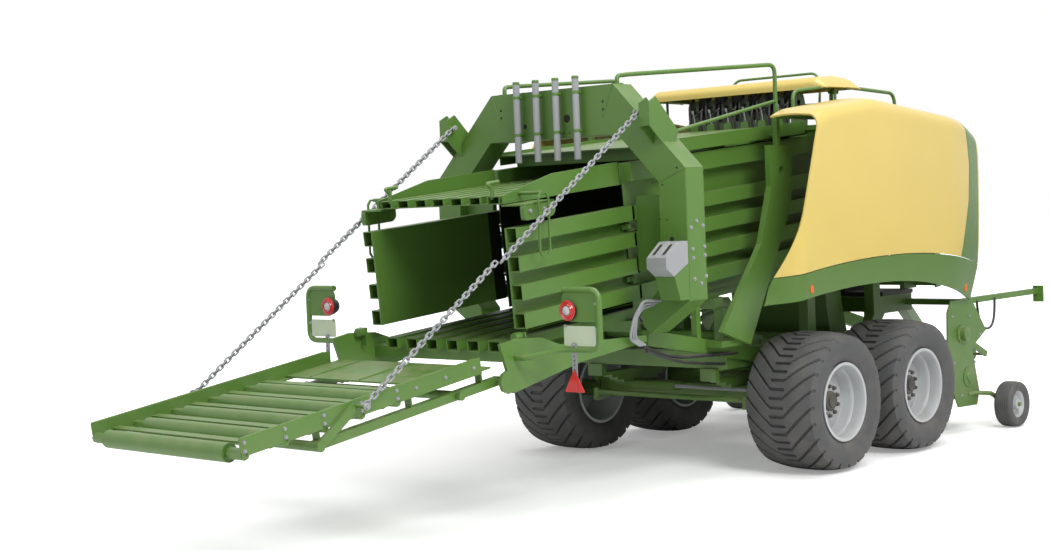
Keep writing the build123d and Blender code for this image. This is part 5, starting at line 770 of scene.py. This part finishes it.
# Wheel chocks: two pressed wedges of galvanised sheet with ribs down the slope and two oval
# hand slots filled with painted shade, stowed side by side in a green pocket on the right arch leg.
grey = sprayed_paint("galvanised_chock_sheet", (0.34, 0.35, 0.36), (0.25, 0.26, 0.27), 0.42, 0.2, (0.5, 0.5, 0.5))
coat_nodes(grey, "wheel_chocks")
chock_ribs, chock_slot_shades = [], []
slope = np.array([0.150, 0, 0.108]) / np.hypot(0.150, 0.108)
for index in range(2):
    middle = -1.220 + 0.085 * (index + 0.5)
    for across in (-0.034, 0.034):
        chock_ribs.append(tube([np.array([-1.278, middle + across, 1.7135]) + slope * 0.006,
                                np.array([-1.278, middle + across, 1.7135]) + slope * 0.172], 0.0048, 8))
    # Each hand slot is a thin near-black plate of painted shade.
    chock_slot_shades.append(slab(round_corners([(0.035, -0.013), (0.150, -0.013), (0.150, 0.013), (0.035, 0.013)], 0.013),
                            (-1.2797, middle, 1.7122), slope, (0, 1, 0), 0.0035))
    chock_ribs.append(tube([np.array([-1.2797, middle + y, 1.7122]) + slope * run for run, y in
                            ((0.030, 0.0), (0.035, -0.016), (0.150, -0.016), (0.156, 0.0), (0.150, 0.016),
                             (0.035, 0.016), (0.030, 0.0))], 0.0032, 6, bend=0.012))
make_piece("chock_ribs", chock_ribs, grey, "frame")
make_piece("chock_slot_shades", chock_slot_shades, hole_shade, "frame")

# Hydraulics: a yellow accumulator with a black valve in clamps on the arch leg, three zinc
# pipes from the density cylinders, and rubber hoses clipped along the chassis.
tank = np.array([-0.764, -1.1224, 1.580])
yellow_steel = sprayed_paint("yellow_enamel", (0.72, 0.47, 0.06), (0.62, 0.40, 0.05), 0.3, 0.15, (0.4, 0.4, 0.4))
make_piece("accumulator_shell", [turned([(0.0, 0.0), (0.0, 0.026), (0.012, 0.038), (0.030, 0.0425), (0.190, 0.0425),
                                         (0.212, 0.036), (0.224, 0.022), (0.224, 0.0)], tank, (0, 0, 1), 40)],
           yellow_steel, "frame", hides=["hydraulics"])
valve_parts = [turned([(0.220, 0.0), (0.220, 0.019), (0.240, 0.019), (0.242, 0.026), (0.268, 0.026), (0.272, 0.016),
                       (0.286, 0.014), (0.286, 0.0)], tank, (0, 0, 1), 24)]
for height in (0.055, 0.170):
    valve_parts.append(turned([(height, 0.0430), (height, 0.0455), (height + 0.022, 0.0455), (height + 0.022, 0.0430),
                               (height, 0.0430)], tank, (0, 0, 1), 36))
    valve_parts.append(tube([tank + (-0.042, 0, height + 0.011), tank + (-0.058, 0, height + 0.011)], 0.011, 8))
valve_parts.append(tube([tank + (0, 0, 0.004), tank + (0, 0, -0.050), tank + (-0.02, 0.03, -0.14), tank + (0.01, 0.17, -0.20)],
                        0.011, 12, bend=0.05))
make_piece("accumulator_fittings", valve_parts, hub_black, "frame")
pipe_parts = []
for index in range(3):
    shift = index * 0.030
    pipe_parts.append(tube([(-1.000, -0.905 - shift, 1.375 + shift * 0.4), (-1.165 - shift, -0.905 - shift, 1.356 + shift),
                            (-1.225 - shift, -0.900 - shift * 0.4, 1.300), (-1.232 - shift, -0.885, 1.150),
                            (-1.100 - shift, -0.868, 1.092)], 0.0095, 12, bend=0.045))
make_piece("hydraulic_pipes", pipe_parts, zinc, "frame")
hose_parts = [
    tube([(-1.10, -0.845, 1.075), (-0.70, -0.800, 0.960), (-0.10, -0.780, 0.930), (0.45, -0.720, 0.905), (1.10, -0.712, 0.900)],
         0.014, 12, bend=0.2),
    tube([(-1.08, -0.860, 1.045), (-0.65, -0.812, 0.925), (0.00, -0.700, 0.842), (0.40, -0.700, 0.815), (2.10, -0.712, 0.830)],
         0.012, 12, bend=0.2),
    tube([(-0.60, 0.700, 1.000), (0.10, 0.712, 0.900), (1.10, 0.712, 0.860), (2.15, 0.712, 0.880)], 0.013, 12, bend=0.2)]
make_piece("clipped_hoses", hose_parts, hub_black, "frame")

# Knotters: six black gear discs with cams on one shaft, each between green plates, with a
# bill-hook arm, a chrome tension pin and a green twine box behind.
knotter_base, shaft_z = 2.6121, 2.8721
plate_outline = [(-0.120, 0.013), (0.120, 0.013), (0.132, 0.156), (0.072, 0.338), (-0.060, 0.338), (-0.108, 0.130)]
knot_green, knot_black, knot_steel = [], [], []
for index in range(7):
    stand = (index - 3) * 0.175
    knot_green.append(slab(round_corners(plate_outline, 0.03), (1.470, stand, knotter_base), (1, 0, 0), (0, 0, 1), 0.010))
knot_green += [tube([(1.372, -0.545, knotter_base + 0.034), (1.372, 0.545, knotter_base + 0.034)], 0.024, 4),
               tube([(1.560, -0.664, knotter_base + 0.030), (1.560, 0.664, knotter_base + 0.030)], 0.040, 4)]
knot_steel.append(turned([(-0.530, 0), (-0.530, 0.024), (0.530, 0.024), (0.530, 0)], (1.470, 0, shaft_z), (0, 1, 0), 24))
for index in range(6):
    middle = (index - 2.5) * 0.175
    knot_black += [
        turned([(-0.030, 0), (-0.030, 0.048), (-0.020, 0.052), (-0.020, 0.100), (-0.027, 0.104), (-0.027, 0.1185),
                (-0.003, 0.1185), (-0.003, 0.104), (-0.008, 0.098), (-0.008, 0.072), (0.026, 0.070), (0.026, 0.040),
                (0.030, 0.036), (0.030, 0)], (1.470, middle, shaft_z), (0, 1, 0), 44),
        tube([(1.385, middle + 0.052, knotter_base + 0.052), (1.345, middle + 0.060, knotter_base + 0.160),
              (1.352, middle + 0.066, knotter_base + 0.300), (1.405, middle + 0.060, knotter_base + 0.352)], 0.0135, 10,
             bend=0.06),
        tube([(1.350, middle - 0.062, knotter_base + 0.055), (1.332, middle - 0.062, knotter_base + 0.190),
              (1.380, middle - 0.055, knotter_base + 0.290)], 0.011, 10, bend=0.05)]
    knot_steel += [tube([(1.362, middle + 0.010, knotter_base + 0.060), (1.336, middle + 0.020, knotter_base + 0.230)],
                        0.0062, 10),
                   turned([(0, 0), (0, 0.012), (0.026, 0.012), (0.030, 0.007), (0.030, 0)],
                          (1.3335, middle + 0.021, knotter_base + 0.225), (-0.15, 0.06, 1), 12),
                   tube([(1.39, middle + 0.075, knotter_base + 0.19), (1.345, middle - 0.078, knotter_base + 0.26)],
                        0.0045, 8)]
    knot_green.append(slab(round_corners([(-0.040, 0.055), (0.040, 0.055), (0.034, 0.128), (-0.030, 0.128)], 0.012),
                           (1.345, middle + 0.012, knotter_base), (0, 1, 0), (0, 0, 1), 0.042))
    for turn in np.arange(10) * 2 * np.pi / 10:
        knot_black.append(tube([(1.470 + 0.112 * np.cos(turn), middle - 0.0315, shaft_z + 0.112 * np.sin(turn)),
                                (1.470 + 0.112 * np.cos(turn), middle - 0.0260, shaft_z + 0.112 * np.sin(turn))], 0.006, 6))
make_piece("knotter_plates", knot_green, green, "frame", hides=["knotters"])
make_piece("knotter_discs", knot_black, hub_black, "frame")
make_piece("knotter_pins", knot_steel, chrome, "frame")

# Knotter lid: one shallow yellow moulding, mitred at both ends and turned down along its
# edges, with an inner stiffening rim; it hinges on its front edge.
lid_line = rounded([(1.2575, 2.962), (1.2575, 3.012), (1.3120, 3.056), (1.5400, 3.0715), (1.7600, 3.054), (1.8165, 3.010),
                    (1.8165, 2.962)], 0.030)
lid_line = np.column_stack([np.interp(np.linspace(0, 1, 46), np.linspace(0, 1, len(lid_line)), lid_line[:, axis])
                            for axis in (0, 1)])
lid_across = np.concatenate([np.linspace(-0.925, -0.80, 10)[:-1], np.linspace(-0.80, 0.80, 14),
                             np.linspace(0.80, 0.925, 10)[1:]])
lid_fall = np.clip((np.abs(lid_across) - 0.81) / 0.115, 0, 1)[:, None]
lid_height = lid_line[None, :, 1] - (lid_line[None, :, 1] - 2.962) * (0.93 * lid_fall ** 1.6)
lid_points = np.stack([lid_line[None, :, 0] + (1.537 - lid_line[None, :, 0]) * 0.05 * lid_fall,
                       np.broadcast_to(lid_across[:, None], lid_height.shape), lid_height], axis=-1)
lid_parts = [sheet_shell(lid_points, 0.012, (0, 0, -1))]
lid_parts.append(tube([(1.266, -0.86, 2.966), (1.266, 0.86, 2.966)], 0.0055, 8))
make_piece("knotter_lid_shell", lid_parts, yellow, "knotter_lid", crease=45, hides=["knotter_lid"])
lid_hinges = [turned([(-0.030, 0.0182), (-0.030, 0.0245), (0.030, 0.0245), (0.030, 0.0182), (-0.030, 0.0182)],
                     (1.8172, side * 0.655, 2.960), (0, 1, 0), 24) for side in (-1, 1)]
lid_hinges += [slab([(-0.020, 0.0), (0.020, 0.0), (0.016, 0.060), (-0.016, 0.060)], (1.8105, side * 0.668, 2.975),
                    (1, 0, 0), (0, 0, 1), 0.008) for side in (-1, 1)]
make_piece("knotter_lid_hinges", lid_hinges, green, "knotter_lid")

# Chute: bolt pairs hold the roller pins in its rails, a rolled lip closes the rear end, and
# zinc pins carry the rails and the chain hooks.
tilt = radians(8)


def chute_place(run, side, rise):
    """A place on the chute from its distance behind the hinge and its height above the arms."""
    return (-2.470 - run * np.cos(tilt) - rise * np.sin(tilt), side, 0.972 - run * np.sin(tilt) + rise * np.cos(tilt))


chute_bolts, chute_green = [], []
for side in (-1, 1):
    rows = [chute_place(2.085 - 0.296 * index, side * 0.7452, rise) for index in range(5) for rise in (0.118, 0.168)]
    rows += [chute_place(run, side * 0.7452, 0.145) for run in (0.22, 0.48, 0.74)]
    chute_bolts.append(hex_bolts(rows, (0, side, 0), 0.0105))
    chute_bolts.append(turned([(0, 0), (0, 0.024), (0.006, 0.024), (0.010, 0.017), (0.022, 0.015), (0.022, 0)],
                              chute_place(1.25, side * 0.8545, 0.1636), (0, side, 0), 20))
    chute_green.append(tube([chute_place(0.20, side * 0.739, 0.1962), chute_place(2.105, side * 0.739, 0.1962)], 0.0055, 8))
chute_green.append(tube([chute_place(1.567, -0.775, 0.0), chute_place(1.567, 0.775, 0.0)], 0.0302, 18))
for across in np.linspace(-0.5, 0.5, 3):
    chute_green.append(tube([chute_place(0.08, across, 0.1155), chute_place(0.54, across, 0.1155)], 0.006, 8))
make_piece("chute_bolts", chute_bolts, zinc, "chute")
make_piece("chute_edges", chute_green, green, "chute")

# Gauge wheels: narrow ribbed tyres on silver rims at the ends of the pickup's wheel arms.
gauge_line = [(-0.050, 0.112), (-0.066, 0.120), (-0.080, 0.145), (-0.0825, 0.168), (-0.076, 0.186), (-0.064, 0.194)]
for share in np.linspace(-0.058, 0.058, 25):
    gauge_line.append((share, 0.199 - 0.0045 * (abs(np.sin(share * 150)) < 0.3) - 0.9 * share ** 2))
gauge_line += [(-along, reach) for along, reach in gauge_line[5::-1]]
gauge_rim = [(-0.058, 0.116), (-0.062, 0.122), (-0.056, 0.122), (-0.048, 0.108), (-0.030, 0.100), (0.030, 0.100),
             (0.048, 0.108), (0.056, 0.122), (0.062, 0.122), (0.058, 0.116), (0.046, 0.100), (0.020, 0.090),
             (0.024, 0.050), (0.060, 0.044), (0.064, 0.0182), (-0.064, 0.0182), (-0.060, 0.044), (0.010, 0.052),
             (0.006, 0.090), (-0.046, 0.100), (-0.058, 0.116)]
for side, hand in ((-1, "right"), (1, "left")):
    centre = (3.280, side * 1.450, 0.200)
    make_piece(f"gauge_tyre_{hand}", [turned(gauge_line + gauge_line[:1], centre, (0, side, 0), 72)], rubber,
               f"gauge_wheel_{hand}", hides=[f"gauge_wheel_{hand}"])
    bolt_turn = 2 * np.pi * np.arange(5) / 5
    make_piece(f"gauge_rim_{hand}", [turned(gauge_rim, centre, (0, side, 0), 56), hex_bolts(
        np.array(centre) + np.column_stack([0.070 * np.sin(bolt_turn), np.full(5, side * 0.022), 0.070 * np.cos(bolt_turn)]),
        (0, side, 0), 0.007)], silver, f"gauge_wheel_{hand}")

# Pickup: a drum of steel strips between which spring tines stand out, five bars of them, drawn
# without the coil at each foot; bolts and a bearing cap on each side plate.
reel_parts, tine_parts = [], []
for strip in range(26):
    place = -1.150 + 2.300 * (strip + 0.5) / 26
    reel_parts.append(turned([(-0.036, 0.150), (-0.036, 0.204), (-0.030, 0.2095), (0.030, 0.2095), (0.036, 0.204),
                              (0.036, 0.150), (-0.036, 0.150)], (2.800, place, 0.480), (0, 1, 0), 30))
reel_parts.append(turned([(-1.150, 0.0), (-1.150, 0.160), (1.150, 0.160), (1.150, 0.0)], (2.800, 0, 0.480), (0, 1, 0), 30))
for bar in range(5):
    turn = radians(bar * 72 - 12)
    out, back = np.array([np.cos(turn), 0, np.sin(turn)]), np.array([-np.sin(turn), 0, np.cos(turn)])
    for place in range(25):
        foot = np.array([2.800, -1.150 + 2.300 * (place + 1) / 26, 0.480])
        tine_parts.append(tube([foot + out * 0.17, foot + out * 0.225, foot + out * 0.262 + back * 0.004,
                                foot + out * 0.298 - back * 0.010], 0.0036, 5, bend=0.02))
make_piece("pickup_drum", reel_parts, green, "pickup_reel", hides=["pickup_reel"])
make_piece("pickup_tines", tine_parts, zinc, "pickup_reel")
side_parts, side_green = [], []
for side in (-1, 1):
    side_parts.append(hex_bolts([(2.55, side * 1.2902, 1.02), (2.85, side * 1.2902, 1.00), (3.03, side * 1.2902, 0.83),
                                 (2.56, side * 1.2902, 0.62), (2.92, side * 1.2902, 0.60), (2.68, side * 1.2902, 0.33)],
                                (0, side, 0), 0.011))
    side_green.append(turned([(0, 0), (0, 0.075), (0.010, 0.075), (0.020, 0.060), (0.060, 0.056), (0.066, 0.048), (0.066, 0)],
                             (2.700, side * 1.2895, 0.860), (0, side, 0), 36))
    side_green.append(turned([(0, 0), (0, 0.085), (0.008, 0.085), (0.014, 0.050), (0.026, 0.044), (0.026, 0)],
                             (2.800, side * 1.2895, 0.480), (0, side, 0), 36))
make_piece("pickup_side_bolts", side_parts, zinc, "pickup")
make_piece("pickup_side_caps", side_green, green, "pickup")

# Drive: a cast flywheel with a turned rim and six bolts, a splined input stub, and a cast
# gearbox with ribs and cover bolts; the spokes' openings and the breather are not drawn.
flywheel_parts = [turned([(-0.060, 0.0), (-0.060, 0.325), (-0.050, 0.340), (0.050, 0.340), (0.060, 0.328), (0.060, 0.275),
                          (0.052, 0.268), (0.004, 0.264), (0.000, 0.100), (0.010, 0.085), (0.056, 0.062), (0.060, 0.056),
                          (0.060, 0.022), (0.200, 0.022), (0.200, 0.0)], (3.120, 0, 1.560), (1, 0, 0), 72)]
spline_turn = 2 * np.pi * np.arange(12) / 12
for turn in spline_turn:
    flywheel_parts.append(tube([(3.225, 0.0205 * np.cos(turn), 1.560 + 0.0205 * np.sin(turn)),
                                (3.315, 0.0205 * np.cos(turn), 1.560 + 0.0205 * np.sin(turn))], 0.0028, 6))
flywheel_parts.append(tube([(2.975, 0, 1.560), (3.060, 0, 1.560)], 0.0298, 28))
bolt_turn = 2 * np.pi * np.arange(6) / 6
flywheel_parts.append(hex_bolts(np.column_stack([np.full(6, 3.1225), 0.130 * np.sin(bolt_turn),
                                                 1.560 + 0.130 * np.cos(bolt_turn)]), (1, 0, 0), 0.014))
make_piece("flywheel_casting", flywheel_parts, hub_black, "flywheel", hides=["flywheel"])
coat_nodes(hub_black, "gearbox")
gear_parts = []
for x in (2.50, 2.60, 2.70, 2.80, 2.90):
    for side in (-1, 1):
        gear_parts.append(slab(round_corners([(-0.26, -0.015), (0.26, -0.015), (0.20, 0.015), (-0.20, 0.015)], 0.01),
                               (x, side * 0.322, 1.52), (0, 0, 1), (0, side, 0), 0.014))
gear_parts.append(turned([(0, 0), (0, 0.13), (0.012, 0.13), (0.020, 0.105), (0.020, 0)], (2.969, 0, 1.560), (1, 0, 0), 40))
gear_parts.append(hex_bolts([(2.988, 0.118 * np.sin(turn), 1.560 + 0.118 * np.cos(turn)) for turn in bolt_turn],
                            (1, 0, 0), 0.010))
make_piece("gearbox_ribs", gear_parts, hub_black, "frame")

# Drawbar and jack: a polished wear ring in the towing eye, and a zinc crank with a grip on the
# parking jack; the bolts through the root flanges are not drawn.
hitch_steel = [turned([(-0.0225, 0.0252), (-0.0225, 0.0330), (-0.0262, 0.0330), (-0.0262, 0.0252), (-0.0225, 0.0252)],
                      (4.545, 0, 0.560), (0, 0, 1), 40),
               turned([(0.0225, 0.0252), (0.0225, 0.0330), (0.0262, 0.0330), (0.0262, 0.0252), (0.0225, 0.0252)],
                      (4.545, 0, 0.560), (0, 0, 1), 40)]
make_piece("hitch_wear_rings", hitch_steel, chrome, "frame")
jack_parts = [turned([(0, 0), (0, 0.050), (0.012, 0.050), (0.018, 0.040), (0.030, 0.015), (0.060, 0.012), (0.060, 0)],
                     (3.900, 0.336, 0.9855), (0, 0, 1), 32),
              tube([(3.900, 0.336, 1.030), (3.900, 0.420, 1.030), (3.900, 0.420, 1.100)], 0.008, 12, bend=0.02),
              turned([(0, 0), (0, 0.014), (0.020, 0.017), (0.060, 0.015), (0.070, 0.010), (0.070, 0)],
                     (3.900, 0.420, 1.095), (0, 0, 1), 20)]
make_piece("jack_crank", jack_parts, zinc, "frame")
coat_nodes(chrome, "steer_rod")

# Front side bars: a rubber hose loop hangs from each one; the short safety chain is not drawn.
hose_black = sprayed_paint("hose_rubber", (0.022, 0.022, 0.023), (0.015, 0.015, 0.016), 0.5, 0.3, (0.06, 0.06, 0.06),
                           edge_width=0.001)
for side, hand in ((-1, "right"), (1, "left")):
    curve = bpy.data.curves.new(f"front_hose_{hand}", "CURVE")
    curve.dimensions = "3D"
    curve.bevel_depth = 0.011
    curve.bevel_resolution = 4
    line = curve.splines.new("NURBS")
    places = np.array([(3.17, side * 1.200, 1.110), (3.17, side * 1.206, 0.980), (3.24, side * 1.212, 0.860),
                       (3.40, side * 1.212, 0.850), (3.49, side * 1.206, 0.970), (3.50, side * 1.200, 1.118)])
    line.points.add(len(places) - 1)
    for point, place in zip(line.points, places):
        point.co = (*place, 1)
    line.order_u = 3
    line.use_endpoint_u = True
    curve.materials.append(hose_black)
    hose = bpy.data.objects.new(f"front_hose_{hand}", curve)
    bpy.context.scene.collection.objects.link(hose)
    share = np.linspace(0, 1, 40)[:, None]
    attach(hose, "frame")
